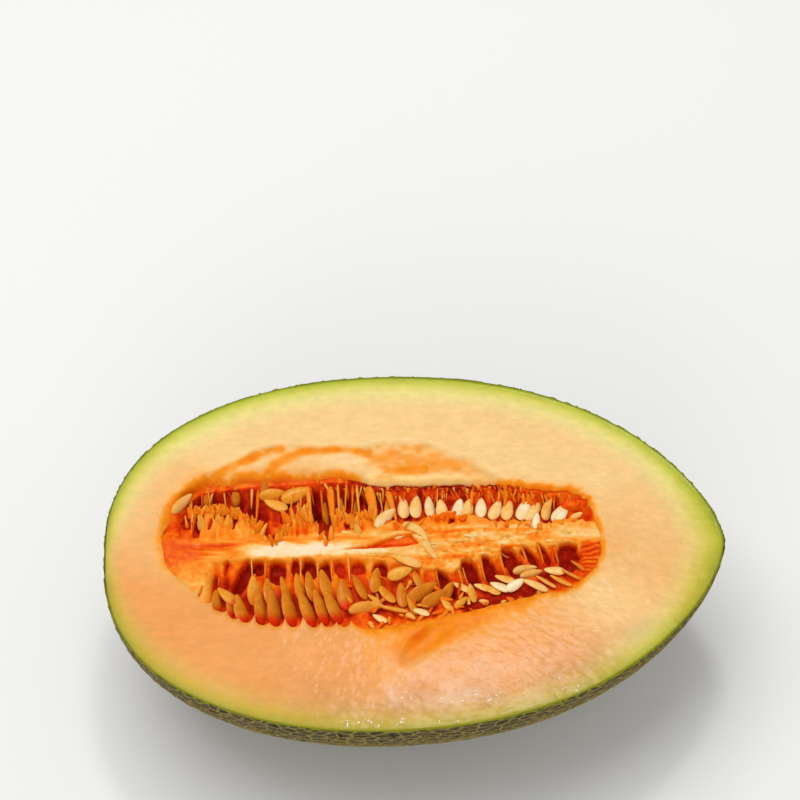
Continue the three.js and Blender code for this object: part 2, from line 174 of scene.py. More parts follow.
def fruit_radius(x, inset=0.0):
    """Radius at a place along the melon: an ellipse with fuller ends, blunter at one end by a
    root that shifts along it, and tapered. An inset draws it in by that much all round."""
    u = np.clip(x / (HALF_LENGTH - inset), -1, 1)
    full = clip(1 - np.abs(u) ** END_POWER)
    taper = (1 - inset / MID_RADIUS) * (1 - TAPER * u)
    return MID_RADIUS * full ** (1 / (SIDE_POWER - END_SKEW * u)) * taper


def ring_at(turns, line):
    """Where a closed line crosses the fan's columns: its points sorted by their angle round
    the middle, with the width stretched to the length, and read off at each column's angle."""
    angle = np.arctan2((line[:, 1] - MIDDLE[1]) * ACROSS_STRETCH, line[:, 0] - MIDDLE[0])
    order = np.argsort(angle)
    read = [np.interp(turns, angle[order], line[order, k], period=2 * np.pi) for k in (0, 1)]
    return np.stack(read, axis=-1)


def fruit_outline(inset):
    """The melon's outline on the cut face, drawn in by the inset."""
    reach = HALF_LENGTH - inset
    x = -reach * np.cos(np.linspace(0, np.pi, 1500))
    r = fruit_radius(x, inset)
    return np.vstack([np.column_stack([x, r]), np.column_stack([x[::-1], -r[::-1]])])


def tear(x, y):
    """Depth of the torn strip and how torn each place is: a wedge that is deepest at the
    cavity, ends in a low step at its outer edge, and has slanting folds at its left end."""
    outer = np.interp(x, *curve(TEAR_OUTER).T)
    ragged = 1.2 * grain(x / 6, y / 6, 4) + 0.5 * grain(x / 2, y / 2, 3)
    to_right = rise(x, -4, 16)
    inside = rise(outer - y + ragged, 0, mix(3.6, 4.2, to_right)) * rise(x, -89, 7) * rise(x, 40, -20)
    inside = np.where(y > 20, inside, 0)
    outward = clip((y - 25) / np.maximum(outer - 25, 1))
    wave = 0.3 * grain(x / 11, y / 6, 6) + 0.14 * grain(x / 3, y / 2, 7)
    depth = mix(0.35, TEAR_LIP, to_right) + TEAR_DEPTH * (1 - outward) ** 1.4 + wave
    crease = mix(0.02, 0.2, rise(x, -20, 10)) + 0.1 * grain(x / 9, y / 5, 8)
    crease = crease + 0.1 * grain(x / 2.5, y / 1.3, 9)
    for line, width, strength in CREASES:
        wander = 0.7 * grain(x / 4, y / 4, 10)
        near = bell((line_way(x, y, curve(np.array(line, float), 6)) + wander) / width)
        near = near * (0.85 + 0.25 * grain(x / 4, y / 3, 15) + 0.15 * grain(x / 1.5, y / 1, 16))
        depth = depth + 0.7 * strength * near
        crease = np.maximum(crease, strength * near)
    return np.maximum(depth, 0.2) * inside, inside * clip(crease)


def line_way(x, y, line):
    """The distance of places from a line of points, to the nearest of its straight pieces."""
    way = np.full(np.shape(x), np.inf)
    for (ax, ay), (bx, by) in zip(line[:-1], line[1:]):
        dx, dy = bx - ax, by - ay
        t = clip(((x - ax) * dx + (y - ay) * dy) / (dx * dx + dy * dy))
        way = np.minimum(way, np.hypot(x - ax - t * dx, y - ay - t * dy))
    return way


def blot(x, y, middle, turn, half_long, half_wide):
    """A soft oval mark: 1 in its middle, falling off along its length and width."""
    dx, dy, angle = x - middle[0], y - middle[1], np.radians(turn)
    along, beside = dx * np.cos(angle) + dy * np.sin(angle), dy * np.cos(angle) - dx * np.sin(angle)
    blur = 1 + 0.3 * grain(x / 6, y / 6, 12) + 0.25 * grain(x / 2, y / 2, 14)
    return np.exp(-((along / half_long) ** 2 + (beside / half_wide) ** 2) * blur)


def gouge(x, y):
    """Depth of the scoop below the cavity: the lower half of a long ellipsoid. Round it the
    flesh is stained up to the cavity's edge."""
    turn = np.radians(GOUGE["turn"])
    along = (x - GOUGE["x"]) * np.cos(turn) + (y - GOUGE["y"]) * np.sin(turn)
    beside = (y - GOUGE["y"]) * np.cos(turn) - (x - GOUGE["x"]) * np.sin(turn)
    beside = beside + 1.1 * grain(along / 5, 0.5, 11)
    inside = clip(1 - (along / GOUGE["long"]) ** 2 - (beside / GOUGE["wide"]) ** 2)
    stained = sum(strength * blot(x, y, *mark) for strength, *mark in GOUGE_STAINS)
    stained = np.minimum(stained, 0.46) * (1 + 0.14 * grain(x / 1.6, y / 1.3, 13))
    core, *mark = GOUGE_CORE
    return GOUGE["deep"] * ease(inside), stained + core * blot(x, y, *mark)


def face_depth(x, y):
    """How far the face lies under the cut plane: tear, scoop, knife waves and flesh grain."""
    torn_depth, _ = tear(x, y)
    scoop, _ = gouge(x, y)
    waves = 0.06 * (1 + grain(x / 16, y / 16, 21))
    cells = 0.03 * (1 + grain(x / 1.9, y / 1.3, 22)) + 0.025 * (1 + grain(x / 0.9, y / 0.8, 23))
    return torn_depth + scoop + waves + cells


def depth_share(half):
    """How deep the cavity is where it is half this wide, as a share of its full depth."""
    return (np.maximum(half, 0) / CAVITY_HALF_WIDTH) ** END_SHALLOWING


def grid_faces(rows, columns):
    """Quads between rows of a grid whose columns close on themselves."""
    corner = np.arange(rows * columns).reshape(rows, columns)
    beside = np.roll(corner, -1, axis=1)
    quads = np.stack([corner[:-1], beside[:-1], beside[1:], corner[1:]], axis=-1)
    return quads.reshape(-1, 4)


def fan_faces(ring, pole):
    """Triangles from a closed ring of points to one pole."""
    return np.column_stack([ring, np.roll(ring, -1), np.full(len(ring), pole)])


def volume(points, faces):
    """Signed volume in a closed surface, from the tetrahedra of its faces with the origin."""
    total = 0.0
    for group in faces:
        a, b, c, d = (points[group[:, k]] for k in (0, 1, 2, -1))
        total += np.einsum("ij,ij->i", a, np.cross(b, c)).sum()
        if group.shape[1] > 3:
            total += np.einsum("ij,ij->i", a, np.cross(c, d)).sum()
    return total / 6


def surface(name, points, faces, fields):
    """A smooth-shaded mesh from points in millimetres, groups of faces with as many corners,
    and named values for each point. Faces that all point inwards are turned round."""
    if volume(points, faces) < 0:
        faces = [group[:, ::-1] for group in faces]
    mesh = bpy.data.meshes.new(name)
    mesh.from_pydata((points * MM).tolist(), [], [f for group in faces for f in group.tolist()])
    mesh.polygons.foreach_set("use_smooth", np.ones(len(mesh.polygons), bool))
    for field, values in fields.items():
        layer = mesh.attributes.new(field, "FLOAT", "POINT")
        layer.data.foreach_set("value", np.asarray(values, np.float32).ravel())
    mesh.update()
    piece = bpy.data.objects.new(name, mesh)
    bpy.context.scene.collection.objects.link(piece)
    return piece


def linear(hex_colour):
    """An sRGB colour such as "f3b878" as linear red, green, blue and alpha."""
    srgb = np.array([int(hex_colour[k:k + 2], 16) / 255 for k in (0, 2, 4)])
    value = np.where(srgb <= 0.04045, srgb / 12.92, ((srgb + 0.055) / 1.055) ** 2.4)
    return (*value, 1.0)


def add(material, kind, inputs=None, stops=None, out=0, **settings):
    """Adds one shader node and gives one of its outputs. Inputs are values or the outputs they
    are linked from; stops are a colour ramp's places and colours."""
    new = material.node_tree.nodes.new("ShaderNode" + kind)
    for name, value in settings.items():
        setattr(new, name, value)
    for name, value in (inputs or {}).items():
        if isinstance(value, bpy.types.NodeSocket):
            material.node_tree.links.new(value, new.inputs[name])
        else:
            new.inputs[name].default_value = value
    if stops:
        ramp = new.color_ramp.elements
        while len(ramp) < len(stops):
            ramp.new(0.5)
        for element, (place, colour) in zip(ramp, stops):
            element.position = place
            element.color = linear(colour)
    return new.outputs[out] if new.outputs else None


def new_material(name):
    """A material whose node tree is still empty."""
    made = bpy.data.materials.new(name)
    made.use_nodes = True
    made.node_tree.nodes.clear()
    return made


COLUMNS = 900
FACE_ROWS = 60
WALL_DEPTHS = np.array([0.3, 0.8, 1.5, 2.3, 3.2, 4.2, 5.4, 6.8, 8.4, 10, 12, 15, 18.5, 21])
FLOOR_ROWS = 4
SKIN_ROWS = 8

turns = np.linspace(-np.pi, np.pi, COLUMNS, endpoint=False)
rim = ring_at(turns, np.vstack([curve(CAVITY_FAR), curve(CAVITY_NEAR)[::-1]]))
outer = ring_at(turns, fruit_outline(SKIN))
along_rim = np.roll(rim, -3, axis=0) - np.roll(rim, 3, axis=0)
along_rim /= np.linalg.norm(along_rim, axis=1, keepdims=True)
outward = np.column_stack([along_rim[:, 1], -along_rim[:, 0]])
rim_way = np.cumsum(np.linalg.norm(rim - np.roll(rim, 1, axis=0), axis=1))

# The cavity's edge is frayed, lumpy where its far side narrows, and toothed along the near row.
rim_x, rim_y = rim.T
lumpy = rise(rim_x, 14, 10) * (rim_y > 8)
fray = 0.5 * grain(rim_way / 4.5, 0.5, 31) + (0.3 + 0.35 * lumpy) * grain(rim_way / 1.5, 0.5, 32)
off_tip = np.abs(rim[:, :1] - NEAR_TIPS).min(axis=1) / TIP_HALF_WIDTH
tooth = 1 - np.sqrt(clip(1 - off_tip**2))
by_row = rise(rim_x, -82, 3) * rise(rim_x, -19, -4) * (rim_y < -12)
fray = fray * (1 - 0.5 * by_row) - (TIP_SETBACK + TOOTH_LENGTH * tooth) * by_row

# It rolls over into the cavity: wide and soft at the far left, hardly at all at the left end.
far_left = rise(rim_x, -22, -8) * rise(rim_y, 8, 8)
left_end = rise(rim_x, -78, -5) * rise(rim_y, 10, -6)
roll_reach = 2.2 + 2.4 * far_left
roll_drop = mix(0.8 + 1.0 * far_left, 0.15, left_end)

# The face's columns leave the rim squarely and bend round to where they meet the skin.
share = np.linspace(0, 1, FACE_ROWS + 1)[:, None, None] ** 1.1
direct = outer - rim
square = outward * np.einsum("ij,ij->i", direct, outward)[:, None]
face = rim + direct * share + (square - direct) * share * (1 - share) ** 2
face = face + (outward * fray[:, None]) * (1 - share) ** 4
rim = face[0]
from_rim = np.maximum(np.einsum("kij,ij->ki", face - rim, outward), 0)
face_z = CUT_HEIGHT - face_depth(face[..., 0], face[..., 1])
edge_fade = rise(share[..., 0], 1, -0.025)
roll_over = roll_drop * clip(1 - from_rim / roll_reach) ** 2
lip = bell((from_rim - LIP["from_rim"] + 0.6 * grain(rim_x / 5, 0.5, 44)) / LIP["half_width"])
lip = lip * (rim_y > 20) * rise(rim_x, -19, 4) * rise(rim_x, 31, -12)
lip = lip * clip(0.75 + 0.6 * grain(rim_x / 3, 0.5, 45))
face_z = CUT_HEIGHT - (CUT_HEIGHT - face_z) * edge_fade - roll_over + LIP["height"] * lip
face = np.dstack([face, face_z])

wall_drop = WALL_DEPTHS[:, None]
half_here = (np.interp(rim[:, 0], *CAVITY_FAR.T) - np.interp(rim[:, 0], *CAVITY_NEAR.T)) / 2
room = CAVITY_DEPTH * np.maximum(depth_share(half_here), 0.35)
drop = wall_drop / WALL_DEPTHS[-1] * (room - (CUT_HEIGHT - face_z[0])) * 0.8
inward = 0.3 + 3 * (wall_drop / WALL_DEPTHS[-1]) ** 3
ribs = 0.35 * grain(rim_way / 1.7, wall_drop / 5, 33) + 0.25 * grain(rim_way / 5, wall_drop / 4, 34)
wall = rim - outward * (inward + ribs * clip(wall_drop / 1.5))[..., None]
wall = np.dstack([wall, face_z[0] - drop])

floor_share = np.linspace(1, 0, FLOOR_ROWS + 1)[1:-1, None, None]
cavity_floor = MIDDLE + (wall[-1, :, :2] - MIDDLE) * floor_share
floor_z = wall[-1, :, 2] - 4 * (1 - floor_share[..., 0] ** 2)
cavity_floor = np.dstack([cavity_floor, floor_z])

skin_share = np.cos(np.linspace(0, np.pi / 2, SKIN_ROWS + 1))[1:-1, None, None]
skin = MIDDLE * (1 - skin_share) + outer * skin_share
skin_room = fruit_radius(skin[..., 0], SKIN) ** 2 - skin[..., 1] ** 2
skin = np.dstack([skin, CUT_HEIGHT - np.sqrt(np.maximum(skin_room, 0))])

rows = np.concatenate([cavity_floor[::-1], wall[::-1], face, skin])
poles = np.array([
    (*MIDDLE, floor_z.min() - 0.5),
    (*MIDDLE, CUT_HEIGHT - fruit_radius(MIDDLE[0], SKIN) + 0.05),
])
flesh_points = np.vstack([rows.reshape(-1, 3), poles])
flesh_points[:, 2] = np.maximum(flesh_points[:, 2], SKIN)
body = grid_faces(len(rows), COLUMNS)
first_ring = np.arange(COLUMNS)
last_ring = (len(rows) - 1) * COLUMNS + first_ring
pole_index = len(rows) * COLUMNS
caps = np.vstack([
    fan_faces(first_ring[::-1], pole_index),
    fan_faces(last_ring, pole_index + 1),
])


def whole(on_face, in_cavity, on_skin, at_poles):
    """A value for each of the flesh's points: the face's rows as given, and one value for the
    rows in the cavity, one for those of the skin, and one for each pole."""
    field = np.full((len(rows), COLUMNS), float(in_cavity))
    field[face_start:face_start + FACE_ROWS + 1] = on_face
    field[face_start + FACE_ROWS + 1:] = on_skin
    return np.append(field.ravel(), at_poles)


x, y, z = flesh_points.T
face_start = len(cavity_floor) + len(wall)
face_x = np.clip(face[..., 0], 0.05 - HALF_LENGTH, HALF_LENGTH - 0.05)
skin_slope = (fruit_radius(face_x + 0.05) - fruit_radius(face_x - 0.05)) / 0.1
skin_way = (fruit_radius(face_x, SKIN) - np.abs(face[..., 1])) / np.hypot(1, skin_slope)
from_skin = whole(np.maximum(skin_way, 0), 9, 0, [20, 0])
from_cavity = whole(from_rim, 0, 40, [0, 40])
# Painted highlight: the lip, and the top of the wall just under it, are coloured pale.
lip_highlight = whole(lip, 0, 0, [0, 0])
lip_highlight[(face_start - 3) * COLUMNS:face_start * COLUMNS] = np.tile(lip[0], 3)
tip = bell((x - HALF_LENGTH) / 20) * bell(y / 24)
far_share = rise(outward[:, 1], -0.25, 0.5)
stain_strength, stain_width = (
    mix(*(np.interp(rim[:, 0], table[:, 0], table[:, k]) for table in (STAIN_NEAR, STAIN_FAR)), far_share)
    for k in (1, 2)
)
stain_strength = np.append(np.tile(stain_strength, len(rows)), [1, 0])
stain_width = np.append(np.tile(stain_width, len(rows)), [3, 3])
frayed = clip(0.85 + 0.4 * grain(x / 3, y / 3, 46) + 0.25 * grain(x / 1.2, y / 1.2, 47))
fringe = stain_strength * np.exp(-((from_cavity / stain_width) ** 1.4)) * frayed
torn_depth, torn = tear(x, y)
stain = np.maximum(np.maximum(torn, gouge(x, y)[1]), fringe)
# The cavity's wall: its flesh is orange at the top and painted darker red deeper down, as shade.
under = clip((CUT_HEIGHT - z - np.maximum(torn_depth, 0) - 1.6) / 12) * (from_cavity < 0.01)
warmth = 0.5 - y / 70 - 0.15 * (x / 80) + 0.25 * grain(x / 22, y / 18, 41)
warmth = warmth + 0.3 * blot(x, y, (84, 4), 0, 24, 24) - 0.3 * tip
warmth = clip(warmth - 0.8 * blot(x, y, (78, -36), -50, 30, 18))
# Painted shade: on the near side the flesh is darkened in a band about 10 mm in from the skin.
near_shade_band = bell((from_skin - 10) / 9) * rise(y, -26, -12) * rise(x, -60, 30)
# Painted sheen: a pale patch low on the face, brighter in puddles, stands in for the light mirrored by the
# wet cut.
wet_sheen = rise(x + 3 * grain(y / 7, 0.5, 43), -15, 5) * rise(x, 70, -30)
wet_sheen = wet_sheen * rise(y, -38, -8) * rise(y, -65, 5)
wet_sheen = wet_sheen * clip(0.42 + 0.55 * grain(x / 12, y / 8, 42) + 0.3 * grain(x / 3, y / 2, 49))
sheen_puddles = rise(y, -51, -5) * rise(grain(x / 9, y / 2.5, 48), -0.125, 0.625)
wet_sheen = clip(wet_sheen * (1 + 0.5 * sheen_puddles))

flesh = surface("flesh", flesh_points, [body, caps], {
    "green_way": clip(from_skin / (1 + 1.7 * tip) / 14),
    "stain": clip(stain),
    "under": under,
    "warmth": warmth,
    "wet_sheen": wet_sheen,
    "lip": lip_highlight,
    "shade": 1 - 0.15 * near_shade_band * (1 + 0.4 * grain(x / 9, y / 7, 50)),
})

# Cut melon flesh: thin-walled cells full of water. Light goes a few millimetres into it, and the
# juice on the cut gives a broad wet gloss with small bright points where it stands in beads.
melon_flesh = new_material("wet_melon_flesh")
values = {
    name: add(melon_flesh, "Attribute", attribute_name=name, out="Fac")
    for name in ("green_way", "stain", "under", "warmth", "wet_sheen", "lip", "shade")
}
place = add(melon_flesh, "TexCoord", out="Object")
fibre_place = add(melon_flesh, "Mapping", {
    "Vector": place, "Rotation": (0, 0, 0.35), "Scale": (230, 420, 300),
})
fibres = add(melon_flesh, "TexNoise", {"Vector": fibre_place, "Scale": 1.0, "Detail": 5, "Roughness": 0.6})
patches = add(melon_flesh, "TexNoise", {"Vector": place, "Scale": 75, "Detail": 3, "Roughness": 0.55})
wander = add(melon_flesh, "Math", {0: patches, 1: -0.5}, operation="ADD")
wandered = add(melon_flesh, "Math", {0: wander, 1: 0.14, 2: values["green_way"]}, operation="MULTIPLY_ADD")
pale_ramp = add(melon_flesh, "ValToRGB", {"Fac": wandered}, stops=[
    (0.0, "8a980c"), (0.1, "b6ba2c"), (0.26, "d6d060"), (0.46, "e6d684"), (0.75, "ecce88"), (1.0, "f0c684"),
])
warm_ramp = add(melon_flesh, "ValToRGB", {"Fac": wandered}, stops=[
    (0.0, "8a8a08"), (0.1, "ae9e14"), (0.26, "c6a62a"), (0.46, "d8a446"), (0.75, "e29c48"), (1.0, "e8984a"),
])
stain_ramp = add(melon_flesh, "ValToRGB", {"Fac": values["stain"]}, stops=[
    (0.1, "f8aa40"), (0.25, "f79a22"), (0.5, "f28610"), (0.72, "ee6c08"), (1.0, "e44804"),
])
stain_amount = add(melon_flesh, "MapRange", {
    "Value": values["stain"], "From Max": 0.36,
}, interpolation_type="SMOOTHSTEP")
wall_shade_ramp = add(melon_flesh, "ValToRGB", {"Fac": values["under"]}, stops=[
    (0.0, "f68c34"), (0.15, "f0640e"), (0.45, "d43a04"), (1.0, "941800"),
])
under_amount = add(melon_flesh, "Math", {0: values["under"], 1: 14.0}, operation="MULTIPLY", use_clamp=True)
wet_sheen_amount = add(melon_flesh, "Math", {0: values["wet_sheen"], 1: 0.42}, operation="MULTIPLY")
# Mixed over the pale flesh in this order: warmth, stain, the wall's painted shade, the painted sheen and
# the lip's painted highlight.
base = pale_ramp
for amount, colour in (
    (values["warmth"], warm_ramp), (stain_amount, stain_ramp), (under_amount, wall_shade_ramp),
    (wet_sheen_amount, linear("f4d0b0")), (values["lip"], linear("fcd07c")),
):
    base = add(melon_flesh, "Mix", {0: amount, 6: base, 7: colour}, data_type="RGBA", out=2)
fibre_shade = add(melon_flesh, "MapRange", {
    "Value": fibres, "From Min": 0.3, "From Max": 0.7, "To Min": 0.92, "To Max": 1.06,
})
# The painted shade of the near band darkens the colour together with the fibres' tone.
fibre_shade = add(melon_flesh, "Math", {0: fibre_shade, 1: values["shade"]}, operation="MULTIPLY")
base = add(melon_flesh, "VectorMath", {0: base, 1: fibre_shade}, operation="MULTIPLY")
bump = add(melon_flesh, "Bump", {"Height": fibres, "Strength": 0.35, "Distance": 0.0004})
gloss = add(melon_flesh, "MapRange", {
    "Value": patches, "From Min": 0.3, "From Max": 0.7, "To Min": 0.3, "To Max": 0.48,
})
# The stained flesh and the cavity's wall are soft and torn, so they mirror less than the clean cut.
soft = add(melon_flesh, "Math", {0: values["stain"], 1: under_amount}, operation="MAXIMUM")
shine, wetness = (
    add(melon_flesh, "MapRange", {"Value": soft, "From Max": 0.4, "To Min": clean, "To Max": torn})
    for clean, torn in ((0.5, 0.15), (0.15, 0.03))
)
shader = add(melon_flesh, "BsdfPrincipled", {
    "Base Color": base, "Roughness": gloss, "IOR": 1.37, "Normal": bump, "Subsurface Weight": 0.25,
    "Subsurface Radius": (1.0, 0.4, 0.15), "Subsurface Scale": 0.003, "Coat Weight": wetness,
    "Coat Roughness": 0.12, "Coat IOR": 1.34, "Specular IOR Level": shine,
    "Specular Tint": linear("ffe0b4"),
})
add(melon_flesh, "OutputMaterial", {"Surface": shader})
flesh.data.materials.append(melon_flesh)
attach(flesh, "root")
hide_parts("melon_flesh")


# Rind
# A skin under a millimetre thick: smooth dark green, split while the fruit grew, and healed with
# cords of pale cork that stand up from it as a net. The knife cut it with the flesh, and it lies
# flat in one small spot where the melon's weight rests.

NET_SPACING = 3.5  # between the middles of the net's meshes, round the melon
NET_JITTER = 0.62  # how uneven the meshes are, as a share of the spacing
CORD_WIDTH = 0.8
CORD_HEIGHT = 0.5
NET_TOP = 0.04  # the cords' tops lie this far inside the melon's outline
RIND_ROWS = 9


def sphere_points(spacing, reach):
    """Uneven points on the lower part of a unit sphere: a golden spiral round Z, from the
    lowest point up to the height reach, with each point moved a little by the draw."""
    count = int(4 * np.pi / (spacing**2 * 0.87))
    n = np.arange(int(count * (1 + reach) / 2))
    up = -1 + 2 * (n + 0.5) / count
    round_z = n * np.pi * (3 - np.sqrt(5))
    level = np.sqrt(1 - up**2)
    points = np.column_stack([level * np.cos(round_z), level * np.sin(round_z), up])
    shift = np.column_stack([draw(n, 51), draw(n, 52), draw(n, 53)])
    points = points + shift * spacing * NET_JITTER
    return points / np.linalg.norm(points, axis=1, keepdims=True)


def read(items, name, width=1, kind=np.float32):
    """One property of all items of a mesh as an array, with the width as its row length."""
    found = np.empty(len(items) * width, kind)
    items.foreach_get(name, found)
    return found.reshape(-1, width) if width > 1 else found


def hull_triangles(points):
    """Corner numbers of the triangles of the points' convex hull, turned outwards."""
    work = bmesh.new()
    for point in points:
        work.verts.new(point)
    bmesh.ops.convex_hull(work, input=work.verts)
    hull = bpy.data.meshes.new("hull")
    work.to_mesh(hull)
    work.free()
    places = read(hull.vertices, "co", 3).astype(float)
    triangles = read(hull.loops, "vertex_index", kind=np.int32).reshape(-1, 3)
    bpy.data.meshes.remove(hull)
    a, b, c = (places[triangles[:, k]] for k in range(3))
    inward = np.einsum("ij,ij->i", np.cross(b - a, c - a), a + b + c) < 0
    triangles[inward] = triangles[inward][:, ::-1]
    return places, triangles


def on_fruit(directions, lift):
    """Points of a unit sphere carried to the melon: X by its length, and Y and Z out to its
    radius there. Lift is added outwards."""
    x = directions[:, 0] * HALF_LENGTH
    level = np.maximum(np.hypot(directions[:, 1], directions[:, 2]), 1e-6)
    r = fruit_radius(x)
    points = np.column_stack([x, r * directions[:, 1] / level, r * directions[:, 2] / level])
    slope = (fruit_radius(x + 0.5) - fruit_radius(x - 0.5))
    normal = np.column_stack([-slope, directions[:, 1] / level, directions[:, 2] / level])
    normal[:, 0] = np.where(np.abs(directions[:, 0]) > 0.999, 40 * directions[:, 0], normal[:, 0])
    normal /= np.linalg.norm(normal, axis=1, keepdims=True)
    return points + normal * lift[:, None]


def net_of_cords(sites, triangles):
    """The net between the sites: a cord's crest runs from each triangle's middle to its
    neighbours'. Inside each mesh a shoulder, a foot and a flat bottom follow it."""
    count = len(sites)
    a, b, c = (sites[triangles[:, k]] for k in range(3))
    crossing = np.cross(b - a, c - a)
    crossing /= np.linalg.norm(crossing, axis=1, keepdims=True)
    number = len(triangles)
    mesh_of = triangles.T.ravel()
    corner_crossing = np.tile(np.arange(number), 3)
    sides = [np.linalg.norm(sites[triangles[:, k]] - sites[triangles[:, k - 2]], axis=1)
             for k in range(3)]
    room = np.concatenate([(sides[k] + sides[k - 1]) / 2 for k in range(3)]) * MID_RADIUS
    width = CORD_WIDTH * (1 + 0.35 * draw(corner_crossing, 61))
    middle = sites[mesh_of]
    spot = crossing[corner_crossing]

    def drawn_in(share_in):
        """The corners, moved this share towards their mesh's middle and put back on the sphere."""
        moved = spot + (middle - spot) * np.minimum(share_in, 0.8)[:, None]
        return moved / np.linalg.norm(moved, axis=1, keepdims=True)

    ground = -CORD_HEIGHT * (1 + 0.25 * draw(mesh_of, 62))
    strength = 1 + 0.3 * draw(corner_crossing, 63)
    shoulder = drawn_in(0.55 * width / room)
    foot = drawn_in(1.25 * width / room)
    bottom = drawn_in(2.3 * width / room)
    crest_lift = -NET_TOP - 0.16 * (1 + draw(np.arange(number), 64))
    shoulder_lift = crest_lift[corner_crossing] - 0.14 * strength
    foot_lift = mix(shoulder_lift, ground, 0.82)
    points = np.vstack([
        on_fruit(crossing, crest_lift),
        on_fruit(shoulder, shoulder_lift),
        on_fruit(foot, foot_lift),
        on_fruit(bottom, ground - 0.05),
        on_fruit(sites, -CORD_HEIGHT * (1 + 0.25 * draw(np.arange(count), 62)) - 0.02),
    ])
    cork = np.concatenate([
        np.ones(number), np.full(3 * number, 0.8), np.full(3 * number, 0.22),
        np.zeros(3 * number + count),
    ])

    here = np.concatenate([triangles[:, k] for k in range(3)]).astype(np.int64)
    there = np.concatenate([triangles[:, k - 2] for k in range(3)]).astype(np.int64)
    key, twin_key = here * count + there, there * count + here
    order = np.argsort(key)
    twin = order[np.searchsorted(key[order], twin_key)]
    # Edge k of a triangle leaves corner k, and its twin arrives at the same mesh one corner on.
    twin_corner = (twin // number + 1) % 3 * number + twin % number
    edges = np.arange(3 * number)
    first, second = number + edges, number + twin_corner
    bands = [np.column_stack([edges % number, twin % number, second, first])]
    for level in (1, 2):
        low, high = (level - 1) * 3 * number, level * 3 * number
        bands.append(np.column_stack([first + low, second + low, second + high, first + high]))
    quads = np.vstack(bands)
    fans = np.column_stack([first + 6 * number, second + 6 * number, 10 * number + here])
    return points, cork, quads, fans


sites, triangles = hull_triangles(sphere_points(NET_SPACING / MID_RADIUS, 0.12))
net_points, cork, quads, fans = net_of_cords(sites, triangles)

work_mesh = bpy.data.meshes.new("whole_net")
work_mesh.from_pydata(net_points.tolist(), [], quads.tolist() + fans.tolist())
layer = work_mesh.attributes.new("cork", "FLOAT", "POINT")
layer.data.foreach_set("value", cork.astype(np.float32))
work = bmesh.new()
work.from_mesh(work_mesh)
everything = [*work.verts, *work.edges, *work.faces]
bmesh.ops.bisect_plane(
    work, geom=everything, plane_co=(0, 0, 0), plane_no=(0, 0, 1), clear_outer=True, dist=1e-4,
)
work.to_mesh(work_mesh)
work.free()

kept = read(work_mesh.vertices, "co", 3).astype(float)
kept_cork = read(work_mesh.attributes["cork"].data, "value")
corner = read(work_mesh.loops, "vertex_index", kind=np.int32)
starts = read(work_mesh.polygons, "loop_start", kind=np.int32)
sizes = read(work_mesh.polygons, "loop_total", kind=np.int32)
bpy.data.meshes.remove(work_mesh)
groups = [
    corner[starts[sizes == size][:, None] + np.arange(size)]
    for size in np.unique(sizes)
]
outlines = [np.stack([group, np.roll(group, -1, axis=1)], axis=-1).reshape(-1, 2)
            for group in groups]
directed = np.vstack(outlines).astype(np.int64)
forward = directed[:, 0] * len(kept) + directed[:, 1]
backward = directed[:, 1] * len(kept) + directed[:, 0]
open_edges = directed[~np.isin(backward, forward)]

# The cut edge goes in by the skin's thickness, and the inside of the skin follows it down.
ring, ring_corner = np.unique(open_edges, return_inverse=True)
ring_corner = ring_corner.reshape(-1, 2)
ring_points = kept[ring]
middle_inset = 1 - (SKIN - 0.05) / MID_RADIUS
length_inset = 1 - (SKIN - 0.05) / HALF_LENGTH
inner_x = np.clip(ring_points[:, 0], -HALF_LENGTH, HALF_LENGTH) * length_inset
inner_y = np.sign(ring_points[:, 1]) * fruit_radius(ring_points[:, 0]) * middle_inset
lowering = np.cos(np.linspace(0, np.pi / 2, RIND_ROWS + 1))[:-1, None]
inner_rows_x = MIDDLE[0] * (1 - lowering) + inner_x * lowering
inner_rows_y = inner_y * lowering
inner_room = fruit_radius(inner_rows_x / length_inset) ** 2 * middle_inset**2 - inner_rows_y**2
inner_z = -np.sqrt(np.maximum(inner_room, 0))
inner_z[0] = 0
inner = np.dstack([inner_rows_x, inner_rows_y, inner_z]).reshape(-1, 3)
inner_pole = np.array([[MIDDLE[0], 0, -fruit_radius(MIDDLE[0]) * middle_inset]])
levels = np.vstack([ring, len(kept) + np.arange(len(inner)).reshape(RIND_ROWS, -1)])
start, end = ring_corner[:, 0], ring_corner[:, 1]
inner_quads = np.vstack([
    np.column_stack([levels[k][end], levels[k][start], levels[k + 1][start], levels[k + 1][end]])
    for k in range(RIND_ROWS)
])
inner_fan = np.column_stack([
    levels[-1][end], levels[-1][start], np.full(len(start), len(kept) + len(inner)),
])
rind_points = np.vstack([kept, inner, inner_pole]) + (0, 0, CUT_HEIGHT)
rind_points[:, 2] = np.maximum(rind_points[:, 2], 0)
cut_edge = np.zeros(len(rind_points))
cut_edge[levels[1]] = 1
# Hardly any dark skin shows at the near side.
cut_edge[ring] = 0.7 * clip(0.5 - ring_points[:, 1] / 30)
all_cork = np.concatenate([kept_cork, np.zeros(len(inner) + 1)])
rind = surface("rind", rind_points, [*groups, inner_quads, inner_fan], {
    "cork": all_cork, "cut_edge": cut_edge,
})

